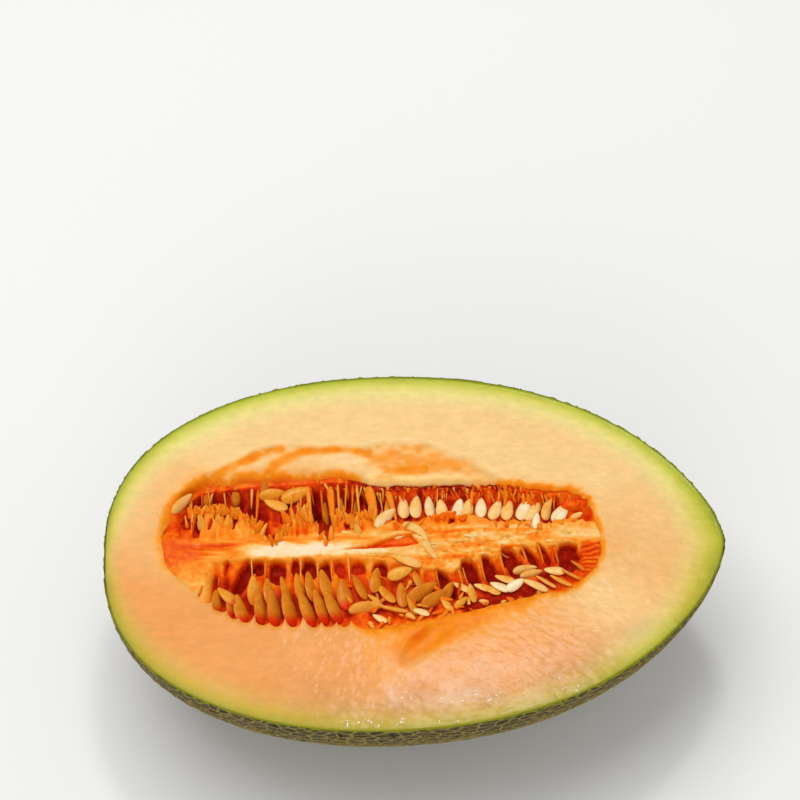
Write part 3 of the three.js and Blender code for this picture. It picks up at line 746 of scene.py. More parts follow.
# Netted skin: dull cork cords, dry and rough, over a smooth dark green skin with a waxy sheen
# that is browner where it has healed.
netted_skin = new_material("netted_melon_skin")
cork_value = add(netted_skin, "Attribute", attribute_name="cork", out="Fac")
cut_value = add(netted_skin, "Attribute", attribute_name="cut_edge", out="Fac")
place = add(netted_skin, "TexCoord", out="Object")
patches = add(netted_skin, "TexNoise", {"Vector": place, "Scale": 42, "Detail": 4, "Roughness": 0.6})
crumbs = add(netted_skin, "TexNoise", {"Vector": place, "Scale": 1400, "Detail": 4, "Roughness": 0.65})
skin_colour = add(netted_skin, "ValToRGB", {"Fac": patches}, stops=[
    (0.32, "2e2c12"), (0.5, "3c3416"), (0.62, "463818"), (0.75, "50401c"),
])
cord_colour = add(netted_skin, "ValToRGB", {"Fac": crumbs}, stops=[
    (0.3, "6c5a2a"), (0.5, "94824a"), (0.7, "b2a268"),
])
cord_amount = add(netted_skin, "MapRange", {
    "Value": cork_value, "From Min": 0.15, "From Max": 0.75, "To Min": 0.0, "To Max": 1.0,
})
colour = add(netted_skin, "Mix", {0: cord_amount, 6: skin_colour, 7: cord_colour}, data_type="RGBA", out=2)
colour = add(netted_skin, "Mix", {0: cut_value, 6: colour, 7: linear("848c26")}, data_type="RGBA", out=2)
roughness = add(netted_skin, "MapRange", {
    "Value": cork_value, "From Min": 0.0, "From Max": 0.6, "To Min": 0.42, "To Max": 0.85,
})
bump = add(netted_skin, "Bump", {"Height": crumbs, "Strength": 0.5, "Distance": 0.00025})
shader = add(netted_skin, "BsdfPrincipled", {
    "Base Color": colour, "Roughness": roughness, "Normal": bump, "IOR": 1.45, "Specular IOR Level": 0.2,
    "Specular Tint": linear("ffe0a8"),
})
add(netted_skin, "OutputMaterial", {"Surface": shader})
rind.data.materials.append(netted_skin)
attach(rind, "root")


# Seed pulp
# The placenta that fills the cavity: pale pith along the middle, and wet orange pulp that falls
# away on both sides of it in folds and pits, down to the wall where the seeds sat. It is soft,
# grew to the wall all round, and was cut through with the melon.

PULP_GAP = 1.3
TOP_DEPTH = 0.8
TOP_FALL = {"from": 5.0, "over": 12.0, "depth": 0.8}  # the top falls towards its far edge
# The two edges of the pulp's flat top. Tufts reach out over the trough along the far one.
TOP_FAR = np.array([
    (-94, 6), (-88, 5), (-86, 12), (-81, 19), (-72, 20), (-64, 17.5), (-57, 10.5), (-53.5, 5.5),
    (-51, 5.5), (-46.5, 13), (-43, 17.5), (-38, 15.5), (-35, 7), (-31.5, 5.5), (-29, 14), (-26, 17),
    (-22.5, 12), (-18.5, 16), (-14, 15.5), (-4, 10), (6, 13.5), (14, 15), (21, 13), (30, 10.5),
    (42, 10.5), (49, 9), (58, 11), (66, 10),
], float)
TOP_NEAR = np.array([
    (-94, 4), (-88, -4), (-75, -2.5), (-58, -2), (-20, -2.8), (-8, -4.5), (4, -7.5), (14, -9),
    (19, -5.5), (27, -4), (35, -1), (45, 0.5), (57, 0.5), (68, 2),
], float)
# The troughs beside it: x and greatest depth, then the share of that depth on the way from the
# top's edge to the cavity's wall.
FAR_TROUGH = np.array([
    (-92, 1.5), (-86, 4), (-82, 8), (-58, 8), (-53, 5.5), (-41, 5.5), (-37, 8.5), (-12, 7.5),
    (0, 5.5), (60, 5), (66, 3), (69, 1.5),
], float)
NEAR_TROUGH = np.array([
    (-90, 1), (-80, 2.5), (-74, 7), (-70, 8.5), (-25, 8.5), (0, 7), (20, 7.5), (50, 6.5), (62, 4),
    (68, 2),
], float)
FAR_FALL = np.array([(0, 0), (0.12, 0.7), (0.45, 1), (0.75, 0.75), (1, 0.1)], float)
NEAR_FALL = np.array([(0, 0), (0.06, 0.2), (0.25, 0.36), (0.4, 0.6), (0.55, 0.62), (1, 0.3)], float)
# Tones along X of the pulp that coats the far wall, and of the trough beside the top for depths, darker
# deeper down as painted shade.
WALL_TONES = np.array([
    (-94, 0.56), (-84, 0.62), (-78, 0.78), (-66, 0.8), (-58, 0.74), (-46, 0.72), (-38, 0.74),
    (-14, 0.88), (34, 0.9), (46, 0.74), (60, 0.62), (70, 0.56),
], float)
DEPTH_SHADE_TONES = np.array([(0.6, 0.34), (1.6, 0.44), (3.5, 0.62), (6, 0.82), (9, 0.92), (12, 0.96)])
PULP_OVERLAP = 1.2  # the pulp goes this far into the flesh, so that no gap shows at the wall
PULP_COLUMNS = 500
PULP_ROWS = 180
UNDER_ROWS = 8

# Pockets that seeds came out of: middle x and y, half length, half width, slant of x with y, and
# depth.
POCKETS = np.array([
    (-69.5, -4.6, 0.8, 3.0, 0.25, 2.4), (-73.6, -10.6, 0.8, 3.6, 0.15, 2.4),
    (-63.4, -8.4, 2.7, 6.6, 0.47, 5.0), (-57.7, -5.0, 2.6, 3.2, 0.1, 4.4),
    (-50.7, -6.6, 3.3, 4.2, 0, 4.8), (-44, -5.4, 1.7, 3.2, 0, 3.6), (-38.8, -6, 3.0, 3.6, -0.1, 4.4),
    (-33, -7.4, 2.3, 4.0, -0.1, 4.0), (-27.6, -6.4, 2.2, 3.0, 0, 2.6), (-21, -6.2, 3.0, 2.6, 0, 2.8),
    (-12.5, -7, 3.0, 3.2, 0, 3.6), (11.2, -13.6, 2.7, 5.2, -0.5, 4.4), (20.3, -8.8, 3.0, 5.6, -0.35, 4.6),
    (27.3, -8, 2.6, 5.4, -0.3, 4.6), (35.6, -5.4, 3.6, 5.4, -0.45, 4.8), (42.4, -3.2, 2.1, 4.4, -0.6, 4.0),
    (47.8, -2.6, 1.7, 4.0, -0.5, 3.4), (56.6, -4.2, 4.2, 5.6, 0, 4.0), (14, 11.6, 1.1, 1.8, 0.3, 2.4),
    (-51.4, 6.8, 1.9, 2.6, 0, 2.2), (-32.4, 9.5, 2.4, 4.4, 0, 2.0), (-84, 13.8, 2.0, 2.8, 0, 2.4),
    (-79.5, 14.0, 1.1, 3.4, 0.2, 2.8), (-75.5, 13, 0.8, 2.6, 0.2, 2.2), (-66.5, 13.6, 1.0, 3.0, 0.2, 2.6),
    (-60.5, 13.0, 0.7, 2.4, -0.2, 1.8),
], float)
# The slit in the pith: its two edges run together to a point at the left.
SLIT = np.array([(-28, 0.9, 0.7), (-16, 2.6, 1.1), (-6, 6.4, 1.5), (-1, 6.6, 2.0), (1.5, 3.0, 2.4)])
SLIT_DEPTH = 2.4
# Tone across the left end, where the pith's orange tongue lies between red pulp and pale flesh.
LEFT_TONES = np.array([
    (-12, 0.36), (-4, 0.42), (-2, 0.55), (3.2, 0.56), (5, 0.5), (7.5, 0.6), (9.5, 0.64), (11.5, 0.74),
    (14, 0.8), (17, 0.7), (21, 0.56),
], float)


def cavity_edges(x):
    """The cavity's far and near edge at x."""
    return np.interp(x, *curve(CAVITY_FAR).T), np.interp(x, *curve(CAVITY_NEAR).T)


def top_edges(x):
    """The far and the near edge of the pulp's top at x."""
    return np.interp(x, *TOP_FAR.T), np.interp(x, *TOP_NEAR.T)


def pulp_depth(x, y, far_shift=0.0, near_shift=0.0):
    """How far the pulp lies under the cut plane, without its folds: its top, and from the top's
    two edges down into the troughs and up again towards the cavity's wall."""
    far_edge, near_edge = cavity_edges(x)
    far_wall, near_wall = far_edge - PULP_GAP, near_edge + PULP_GAP
    far, near = top_edges(x)
    far = np.minimum(far + far_shift, far_wall - 1)
    near = np.maximum(near + near_shift, near_wall + 1)
    top = TOP_DEPTH + TOP_FALL["depth"] * clip((y - TOP_FALL["from"]) / TOP_FALL["over"])
    far_share = np.interp(clip((y - far) / (far_wall - far)), *FAR_FALL.T)
    near_share = np.interp(clip((near - y) / (near - near_wall)), *NEAR_FALL.T)
    far_depth = mix(top, np.maximum(top, np.interp(x, *FAR_TROUGH.T)), far_share)
    near_depth = mix(top, np.maximum(top, np.interp(x, *NEAR_TROUGH.T)), near_share)
    return np.where(y > far, far_depth, np.where(y < near, near_depth, top))


def ridges(place, pitch, sharp):
    """A row of ridges from 0 to 1: cosine waves raised to a power."""
    return (0.5 + 0.5 * np.cos(2 * np.pi * place / pitch)) ** sharp


def pockets(x, y):
    """How much deeper a place is for the pockets, how far it lies in one, and its tone there.
    Each is an oval with an uneven edge that slants with y, and the deep ones are painted dark, as shade."""
    deeper, covered, tone = np.zeros_like(x), np.zeros_like(x), np.zeros_like(x)
    wobble = 0.15 + 0.3 * grain(x / 2, y / 2, 77) + 0.15 * grain(x / 0.8, y / 0.8, 78)
    for px, py, half_x, half_y, slant, deep in POCKETS:
        along, beside = (x - px - slant * (y - py)) / half_x, (y - py) / half_y
        inside = rise(wobble - along**2 - beside**2, -1.05, 0.5)
        deeper = deeper + deep * inside
        covered = np.maximum(covered, inside)
        tone = np.maximum(tone, inside * mix(0.66, 0.87, clip((deep - 1.4) / 2.4)))
    return deeper, covered, tone


def slit(x, y):
    """How far a place lies in the slit, between its two edges and its two ends."""
    top, bottom = (np.interp(x, SLIT[:, 0], SLIT[:, k]) for k in (1, 2))
    inside = rise(top - y, -0.32, 0.8) * rise(y - bottom, -0.32, 0.8)
    return inside * rise(x, SLIT[0, 0], 3) * rise(x, SLIT[-1, 0] + 1, -2)


def tufts(way, x, y, on_top):
    """Tufts between the band and the far trough: where they are, how high their fibres stand
    and where slots part them. The fibres run across, and way is x with their wander."""
    band_far = mix(4.5, 8.5, rise(x, -75, 100))
    tuft = on_top * rise(y, band_far, 3)
    fibres = 0.6 * grain(way / 1.2, y / 7, 76) + 0.5 * grain(way / 2.7, y / 8, 77)
    slots = rise(grain(way / 2.3, y / 9, 78), -0.25, -0.25) * tuft
    return tuft, fibres, slots * rise(y - band_far, 1.5, 3) * mix(0.3, 1, rise(x, -8, -6))


def ridges_at_end(x, y):
    """Height of the ridges that fan out over the cavity's right end, about 1 at most."""
    fan = (y + 5) * mix(1.6, 1, clip((x - 60) / 7)) + 0.35 * grain(x / 4, y / 3, 88)
    height = ridges(fan, 2.3, 1) * rise(x, 60.5, 2.5) * (0.75 + 0.35 * grain(y / 2, 0.5, 89))
    return height * rise(y, 2, -2) * rise(y, -13, 3)


def pith_share(x, y, crumbs):
    """Where the band's white pith is, from 0 to 1: it wanders about the middle, is widest at
    the left and thins out to the right."""
    middle = 1.0 + 1.3 * grain(x / 7, 0.5, 84) - 0.5 * clip((x + 30) / 10)
    half_width = 4.2 - 2.4 * clip((x + 40) / 40)
    pith = rise(x, -68, 12) * rise(x, 6, -34)
    return pith * rise(half_width - np.abs(y - middle) + 0.8 * crumbs, 0, 2.4)


def pulp_surface(x, y):
    """Depth and tone of the pulp. The tone runs from 0, white pith, over orange to 1, the dark red
    painted as shade in the deepest pockets."""
    far_edge, near_edge = cavity_edges(x)
    to_left, to_right = rise(x, -8, -6), rise(x, -4, 8)
    spikes = 1.4 * grain(x / 1.3 + y / 12, y / 14, 71) + 1.3 * grain(x / 3.1, y / 14, 72)
    spikes = spikes * mix(0.5, 1, to_left)
    ripple = 0.7 * grain(x / 5, 0.5, 73) + 0.4 * grain(x / 1.7, 0.5, 74)
    depth = pulp_depth(x, y, spikes, ripple)
    far, near = top_edges(x)
    far, near = far + spikes, near + ripple
    on_top = rise(y, far, -1.5) * rise(y, near, 1.5)
    far_side, near_side = rise(y, far, 1.5), rise(y, near, -1.5)

    way = x + 1.3 * grain(x / 8, y / 8, 75)
    tuft, fur, slots = tufts(way, x, y, on_top)
    depth = depth - 0.9 * fur * tuft + 2.6 * slots

    # Both troughs hang in soft curtains from the top's edges, and are knobbly lower down.
    knobbly = 0.45 * grain(x / 1.6, y / 1.6, 79) + 0.5 * grain(x / 3.2, y / 2.8, 80)
    curtains = grain(way / 1.9, y / 11, 81)
    row_zone = rise(x, -67, 3) * rise(x, -21, -3) * rise(y, -8, -3)
    row_zone = row_zone * rise(y - near_edge, 4, 3)
    depth = depth - (0.9 * curtains + knobbly) * far_side
    depth = depth - (0.5 * curtains + 0.5 * knobbly) * near_side
    end_ridges = ridges_at_end(x, y)
    depth = depth - 0.9 * end_ridges
    block = rise(x, 53, 3) * rise(y, 14.5, 2)
    depth = mix(depth, 1.5 - 0.4 * knobbly, block)

    deeper, pocket, pocket_shade = pockets(x, y)
    in_slit = slit(x, y)
    depth = depth + deeper + SLIT_DEPTH * in_slit

    lumps = 0.6 * grain(x / 6, y / 4, 79) + 0.4 * grain(x / 2.6, y / 1.9, 80)
    crumbs = grain(x / 1.2, y / 1.1, 81)
    fibre = 0.5 * grain(x / 8 + y / 9, y / 0.9, 82) + 0.3 * grain(x / 4 - y / 12, y / 0.5, 83)
    band = on_top * (1 - tuft)
    at_left = rise(x, -76, -8)
    depth = depth + (0.5 * lumps + 0.25 * crumbs * to_right - 0.5 * fibre * (1 - to_right)) * band
    depth = depth + 0.12 * crumbs
    flush = rise(x, -73, -5) * rise(y, -3, -2)
    depth = mix(depth, 0.24 + 0.12 * lumps, np.maximum(at_left * rise(y, 9, -3), flush))
    depth = np.maximum(depth, 0.18 + 0.1 * fibre)
    at_rim = rise(y - far_edge, -4.5, 3.5)
    depth = np.maximum(depth, at_rim * (tear(x, y)[0] + 1.6 + 0.3 * knobbly))

    band_tone = 0.34 + 0.12 * grain(x / 12, y / 1.8, 85) + 0.08 * grain(x / 5, y, 86) - 0.1 * fibre
    band_tone = band_tone + 0.1 * crumbs * to_right + 0.14 * rise(x, -60, -10)
    tips = bell((far - y) / 1.8) * to_left
    tuft_tone = 0.45 - 0.14 * fur - 0.06 * tips + 0.1 * grain(x / 5, y / 4, 87)
    blotches = 0.14 * grain(x / 4.5, y / 3, 90) + 0.1 * grain(x / 1.3, y / 2, 91)
    # Painted shade between the near row's seeds: darker red lower down.
    shade_between_seeds = mix(0.52, 0.8, rise(y, -11.5, -5))
    row_tone = mix(0.64, 0.44, rise(x, -24, 8))
    # Painted shadow: a dark strip under the seeds at the near right.
    shadow_under_seeds = rise(x, 15, 4) * rise(x, 47, -4) * rise(y, near_edge + 6.5, -2)
    pith = pith_share(x, y, crumbs)
    left_tone = mix(np.interp(y, *LEFT_TONES.T), 0.55, rise(x, -85, -5)) + 0.06 * crumbs + 0.06 * lumps
    at_left = at_left * mix(1, rise(x, -81, -4), clip((y - 6) / 3))
    # The tone follows the depth, darker deeper down as painted shade, and is painted over in this order:
    # with what, and how fully. The slots are painted dark red, as shade.
    tone = np.interp(depth, *DEPTH_SHADE_TONES.T)
    for paint, cover in ((band_tone, band), (tuft_tone, tuft), (0.76, slots)):
        tone = mix(tone, paint, cover)
    # Painted shade: where curtains and knobs stand up the pulp is lighter, and darker in their hollows,
    # here and in the paints below.
    tone = tone - 0.08 * (curtains + knobbly) * (far_side + near_side)
    for paint, cover in (
        (np.interp(x, *WALL_TONES.T) - 0.08 * knobbly + blotches, rise(y - far_edge, -4.6, 2.5) * far_side),
        (0.56 + 0.6 * blotches, rise(y - far_edge, -2.2, 1.4) * rise(x, -22, -6)),
        (0.6 - 0.1 * knobbly, block),
        (shade_between_seeds - 0.1 * curtains - 0.06 * knobbly, row_zone),
        (row_tone - 0.12 * knobbly, rise(y, near_edge + 2.6, -2) * near_side),
        (0.86 - 0.08 * knobbly, shadow_under_seeds * near_side),
        (pocket_shade, pocket),
        (0.6 - 0.12 * fibre, in_slit),
        (0.06 - 0.06 * fibre + 0.05 * grain(x / 5, y / 2, 87), pith * (1 - in_slit) * band),
        (left_tone, np.maximum(at_left, flush)),
        (0.22 - 0.06 * fibre, rise(x, 46, 10) * rise(np.abs(y - 5), 3.2, -2)),
        (0.7 - 0.38 * end_ridges, rise(x, 60.5, 2) * rise(y, 2, -2)),
    ):
        tone = mix(tone, paint, cover)
    return depth, clip(tone)


place_x = np.linspace(-94.8, 70.2, PULP_COLUMNS)[:, None]
far_edge, near_edge = cavity_edges(place_x)
across = np.linspace(0, 1, PULP_ROWS)[None]
top_y = mix(near_edge - PULP_OVERLAP, far_edge + PULP_OVERLAP, across)
top_x = np.broadcast_to(place_x, top_y.shape)
top_depth, top_tone = pulp_surface(top_x, top_y)
top = np.dstack([top_x, top_y, CUT_HEIGHT - top_depth])
back = np.linspace(0, 1, UNDER_ROWS + 2)[None, 1:-1]
under_y = mix(top_y[:, -1:], top_y[:, :1], back)
hang = CAVITY_DEPTH * depth_share((far_edge - near_edge) / 2) * np.sin(np.pi * back) ** 0.5 * 0.85
under_depth = np.maximum(hang, mix(top_depth[:, -1:], top_depth[:, :1], back) + 0.3)
below = np.dstack([np.broadcast_to(place_x, under_y.shape), under_y, CUT_HEIGHT - under_depth])
rings = np.concatenate([top, below], axis=1)
ring_tone = np.concatenate([top_tone, np.full(under_y.shape, 0.8)], axis=1)
per_ring = PULP_ROWS + UNDER_ROWS
pulp_caps = np.vstack([
    np.arange(per_ring)[::-1], (PULP_COLUMNS - 1) * per_ring + np.arange(per_ring),
])
pulp = surface("pulp", rings.reshape(-1, 3), [
    grid_faces(PULP_COLUMNS, per_ring), pulp_caps,
], {"tone": ring_tone})

# Wet pulp: soft and full of juice, so light goes deep into it. The same colours run from cream
# pith to the dark red painted as shade in the pits.
wet_pulp = new_material("wet_seed_pulp")
tone_value = add(wet_pulp, "Attribute", attribute_name="tone", out="Fac")
place = add(wet_pulp, "TexCoord", out="Object")
strand_place = add(wet_pulp, "Mapping", {"Vector": place, "Scale": (500, 900, 700)})
strands = add(wet_pulp, "TexNoise", {"Vector": strand_place, "Scale": 1.0, "Detail": 4, "Roughness": 0.6})
shift = add(wet_pulp, "Math", {0: strands, 1: -0.5}, operation="ADD")
shifted = add(wet_pulp, "Math", {
    0: shift, 1: 0.22, 2: tone_value,
}, operation="MULTIPLY_ADD", use_clamp=True)
pulp_colour = add(wet_pulp, "ValToRGB", {"Fac": shifted}, stops=[
    (0.0, "f8e6c8"), (0.16, "fad08a"), (0.3, "faac46"), (0.44, "f88410"), (0.58, "ec5202"),
    (0.74, "c82c06"), (0.86, "a01608"), (1.0, "6c0a04"),
])
# The pits mirror only more dark pulp, so they are duller than what lies open to the light.
shine = add(wet_pulp, "MapRange", {
    "Value": tone_value, "From Min": 0.55, "From Max": 0.85, "To Min": 0.22, "To Max": 0.08,
})
film_of_juice = add(wet_pulp, "MapRange", {
    "Value": tone_value, "From Min": 0.5, "From Max": 0.8, "To Min": 0.1, "To Max": 0.02,
})
bump = add(wet_pulp, "Bump", {"Height": strands, "Strength": 0.5, "Distance": 0.0004})
shader = add(wet_pulp, "BsdfPrincipled", {
    "Base Color": pulp_colour, "Roughness": 0.3, "IOR": 1.37, "Normal": bump, "Specular IOR Level": shine,
    "Specular Tint": linear("ffb478"), "Subsurface Weight": 0.3, "Subsurface Radius": (1.0, 0.3, 0.08),
    "Subsurface Scale": 0.0025, "Coat Weight": film_of_juice, "Coat Roughness": 0.06, "Coat IOR": 1.34,
})
add(wet_pulp, "OutputMaterial", {"Surface": shader})
pulp.data.materials.append(wet_pulp)
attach(pulp, "root")
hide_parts("seed_pulp")


# Strands
# Torn flaps of pulp that stand over the troughs, the fine stalks on which the seeds hung from the
# wall, and loose fibres on the band. Each is a soft strip that is fast at its root.

STATIONS = 12
STRAND_CORNERS = 8
TUFT = 4  # flaps that spread from one place


def tube_faces(count, stations, corners):
    """Faces of closed tubes that lie one after another in a list of points: a grid round each,
    and a flat cap at both of its ends."""
    sides = grid_faces(stations, corners)
    caps = np.vstack([np.arange(corners)[::-1], (stations - 1) * corners + np.arange(corners)])
    offset = np.arange(count)[:, None, None] * stations * corners
    return [(sides + offset).reshape(-1, 4), (caps + offset).reshape(-1, corners)]


def unit(vectors):
    """Vectors drawn out or in to a length of 1."""
    return vectors / np.linalg.norm(vectors, axis=-1, keepdims=True)


def strips(roots, bends, tips, wide, thick, twist, tone, fade=0.0):
    """Points and tones of tapering strips. A middle line is a quadratic curve from root over
    bend to tip; round it lies an ellipse, turned by the twist, that narrows to a point at the
    tip. The fade is what the tone changes by up to there."""
    t = np.linspace(0, 1, STATIONS)[None, :, None]
    middle = (1 - t) ** 2 * roots[:, None] + 2 * t * (1 - t) * bends[:, None] + t**2 * tips[:, None]
    ahead = unit(np.gradient(middle, axis=1))
    side = unit(np.cross(ahead, (0.0, 0.0, 1.0)))
    up = np.cross(side, ahead)
    turn = np.radians(twist)[:, None, None]
    side, up = side * np.cos(turn) + up * np.sin(turn), up * np.cos(turn) - side * np.sin(turn)
    taper = (1.02 - t[..., 0]) ** 0.5 * (0.35 + 0.65 * clip(t[..., 0] * 6 + 0.2))
    round_it = np.linspace(0, 2 * np.pi, STRAND_CORNERS, endpoint=False)
    half_wide = (wide[:, None] * taper / 2)[:, :, None] * np.cos(round_it)
    half_thick = (thick[:, None] * taper**0.5 / 2)[:, :, None] * np.sin(round_it)
    points = middle[:, :, None] + side[:, :, None] * half_wide[..., None]
    points = points + up[:, :, None] * half_thick[..., None]
    tones = tone[:, None] + fade * t[..., 0]
    return points.reshape(-1, 3), np.repeat(tones, STRAND_CORNERS)


def at_depth(x, y, depth):
    """Points this far under the cut plane."""
    return np.column_stack([x, y, CUT_HEIGHT - depth])


def flaps(count, first, last, side, kind, root_in, way, tip_lift, wide, lean, tone, fade):
    """Tufts of pulp flaps over a trough, from the top's far (side 1) or near (side -1) edge
    outwards. The flaps of one tuft spread from the same place. The fade is what their tone
    changes by towards the tip."""
    n = np.arange(count)
    tuft = n // TUFT
    spread = (n % TUFT - (TUFT - 1) / 2) / TUFT
    pitch = (last - first) / count * TUFT
    x = first + pitch * (tuft + 0.5 + 0.35 * draw(tuft, kind)) + pitch * 0.8 * spread
    far, near = top_edges(x)
    edge = far if side > 0 else near
    reach = way * (1 + 0.45 * draw(tuft, kind + 1) + 0.4 * draw(n, kind + 6))
    tip_x = x + lean + pitch * 0.5 * spread + 1.2 * draw(tuft, kind + 2) + 0.5 * draw(n, kind + 7)
    root_y, tip_y = edge - side * root_in, edge + side * reach
    bend_y = mix(root_y, tip_y, 0.55)
    roots = at_depth(x, root_y, pulp_depth(x, root_y) + 0.5)
    bends = at_depth(mix(x, tip_x, 0.4), bend_y, pulp_depth(x, bend_y) * 0.3 + 0.4)
    tips = at_depth(tip_x, tip_y, np.maximum(pulp_depth(tip_x, tip_y) - tip_lift, 0.9))
    width = wide * (1 + 0.65 * draw(n, kind + 3))
    tone = tone + 0.04 * draw(n, kind + 5) + 0.1 * grain(x / 4, 0.5, kind + 8)
    return strips(roots, bends, tips, width, 0.4 * width, 40 * draw(n, kind + 4), tone, fade)


def fur(count, first, last, inner, kind):
    """Flat tufts that lie on the top between the band and its far edge, with raised tips."""
    n = np.arange(count)
    tuft = n // TUFT
    x = mix(first, last, 0.5 + 0.5 * draw(tuft, kind)) + 1.3 * draw(n, kind + 7)
    y = mix(inner, top_edges(x)[0] + 0.5, 0.5 + 0.5 * draw(tuft, kind + 1)) + 1.2 * draw(n, kind + 8)
    kept = (top_edges(x)[0] > inner + 2) & (y > inner - 1)
    n, x, y, tuft = n[kept], x[kept], y[kept], tuft[kept]
    long = 4.6 + 1.8 * draw(n, kind + 2)
    tip_x, tip_y = x - 0.4 + 1.2 * draw(tuft, kind + 3) + 0.7 * draw(n, kind + 9), y + long
    level, own_tone = pulp_surface(x, y)
    tip_level = pulp_surface(tip_x, tip_y)[0]
    tip_depth = np.maximum(np.minimum(tip_level, level + 1.0) - 0.3, 0.5)
    roots, tips = at_depth(x, y, level + 0.5), at_depth(tip_x, tip_y, tip_depth)
    bends = mix(roots, tips, 0.55) + (0, 0, 0.4)
    width = 2.2 * (1 + 0.5 * draw(n, kind + 4))
    tone = np.minimum(own_tone, 0.56) + 0.04 * draw(n, kind + 6)
    return strips(roots, bends, tips, width, 0.3 * width, 20 * draw(n, kind + 5), tone, -0.06)


def drapes(table, kind):
    """Strips of pulp placed one by one, from a root on the wall or the top to a tip."""
    n = np.arange(len(table))
    x, y, tip_x, tip_y, width, tone = table.T
    roots = at_depth(x, y, np.maximum(pulp_surface(x, y)[0] - 0.3, 0.9))
    tips = at_depth(tip_x, tip_y, np.maximum(pulp_surface(tip_x, tip_y)[0] - 0.5, 0.9))
    bends = mix(roots, tips, 0.5) - (0, 0, 1.2) + 0.7 * draw(n, kind)[:, None] * (1, 0, 0)
    return strips(roots, bends, tips, width, 0.35 * width + 0.3, 20 * draw(n, kind + 1), tone)


def stalks(count, first, last, way, kind):
    """Fine stalks from the far wall down to the seeds under it."""
    n = np.arange(count)
    x = mix(first, last, n / (count - 1)) + draw(n, kind)
    far_edge, _ = cavity_edges(x)
    root_y = far_edge - 1.0 - 0.8 * (1 + draw(n, kind + 1))
    tip_y = root_y - way * (1 + 0.45 * draw(n, kind + 2))
    tip_x = x + 0.5 + 2.2 * draw(n, kind + 3)
    roots = at_depth(x, root_y, pulp_surface(x, root_y)[0] - 0.1)
    tips = at_depth(tip_x, tip_y, pulp_depth(tip_x, tip_y) - 0.8)
    bends = mix(roots, tips, 0.5) + (0, 0, 0.3)
    width = 0.9 * (1 + 0.5 * draw(n, kind + 5))
    tone = 0.46 + 0.2 * draw(n, kind + 6)
    return strips(roots, bends, tips, width, width * 0.9, 0 * width, tone, -0.04)


def knobs(count, first, last, wide, tone, kind):
    """Wet knobs on the far wall, where stalks tore off."""
    n = np.arange(count)
    x = mix(first, last, n / (count - 1)) + draw(n, kind)
    far_edge, _ = cavity_edges(x)
    y = far_edge - 0.4 - 2.0 * (1 + draw(n, kind + 1))
    centre = at_depth(x, y, pulp_surface(x, y)[0] - 0.1 + 0.3 * draw(n, kind + 2))
    way = (draw(n, kind + 3)[:, None] * (0.35, 0, 0) - (0, 0.6, 0.3)) * wide
    width = wide * (1 + 0.4 * draw(n, kind + 4))
    tone = tone + 0.14 * draw(n, kind + 5)
    return strips(centre - way, centre, centre + way, width, width, 0 * width, tone)


def scraps(count, xs, ys, way, wide, tone, kind):
    """Soft scraps of pulp among the seeds, every way round."""
    n = np.arange(count)
    x = mix(xs[0], xs[1], n / (count - 1)) + 1.5 * draw(n, kind)
    y = mix(ys[0], ys[1], n / (count - 1)) + ys[2] * draw(n, kind + 1)
    angle = np.pi * draw(n, kind + 2)
    long = way * (1 + 0.5 * draw(n, kind + 3))
    tip_x, tip_y = x + long * np.cos(angle), y + long * np.sin(angle)
    lift = 0.8 + 0.7 * draw(n, kind + 4)
    roots = at_depth(x, y, np.maximum(pulp_depth(x, y) - lift, 0.4))
    tips = at_depth(tip_x, tip_y, np.maximum(pulp_depth(tip_x, tip_y) - lift, 0.4))
    bends = mix(roots, tips, 0.5) + (0, 0, 0.9)
    width = wide * (1 + 0.4 * draw(n, kind + 5))
    tone = tone + 0.15 * draw(n, kind + 7)
    return strips(roots, bends, tips, width, 0.6 * width, 60 * draw(n, kind + 6), tone)


def fibres_on_band(count, kind):
    """Loose fibres that lie along the band."""
    n = np.arange(count)
    x = mix(-24.0, 56.0, n / (count - 1)) + 3 * draw(n, kind)
    y = mix(-3.0, 8.0, 0.5 + 0.5 * draw(n, kind + 1))
    long = 6 + 3 * draw(n, kind + 2)
    end_y = y + 1.8 * draw(n, kind + 3)
    level = pulp_surface(x, y)[0] + 0.05
    end_level = pulp_surface(x + long, end_y)[0] + 0.05
    roots, tips = at_depth(x, y, level), at_depth(x + long, end_y, end_level)
    bend_y = (y + end_y) / 2 + draw(n, kind + 4)
    bends = at_depth(x + long / 2, bend_y, pulp_surface(x + long / 2, bend_y)[0] - 0.1)
    width = 1.2 * (1 + 0.5 * draw(n, kind + 5))
    return strips(roots, bends, tips, width, 0.5 * width, 0 * width, 0.3 + 0.12 * draw(n, kind + 6))


# The wide fold of pale pulp that crosses the band right of the slit, as root, bend and tip.
FOLD = np.array([
    [(-4, 10.5, 1.2), (4.5, 8, 0.3), (4.5, 2, 0.6)],
    [(4, 3.5, 0.5), (4.5, 0, 0.2), (9, -5, 1.6)],
])
FOLD_WIDTH = np.array([4.2, 3.8])
FOLD_THICKNESS = np.array([1.3, 1.2])
FOLD_TONE = 0.24
fold_places = [at_depth(*FOLD[:, k].T) for k in range(3)]
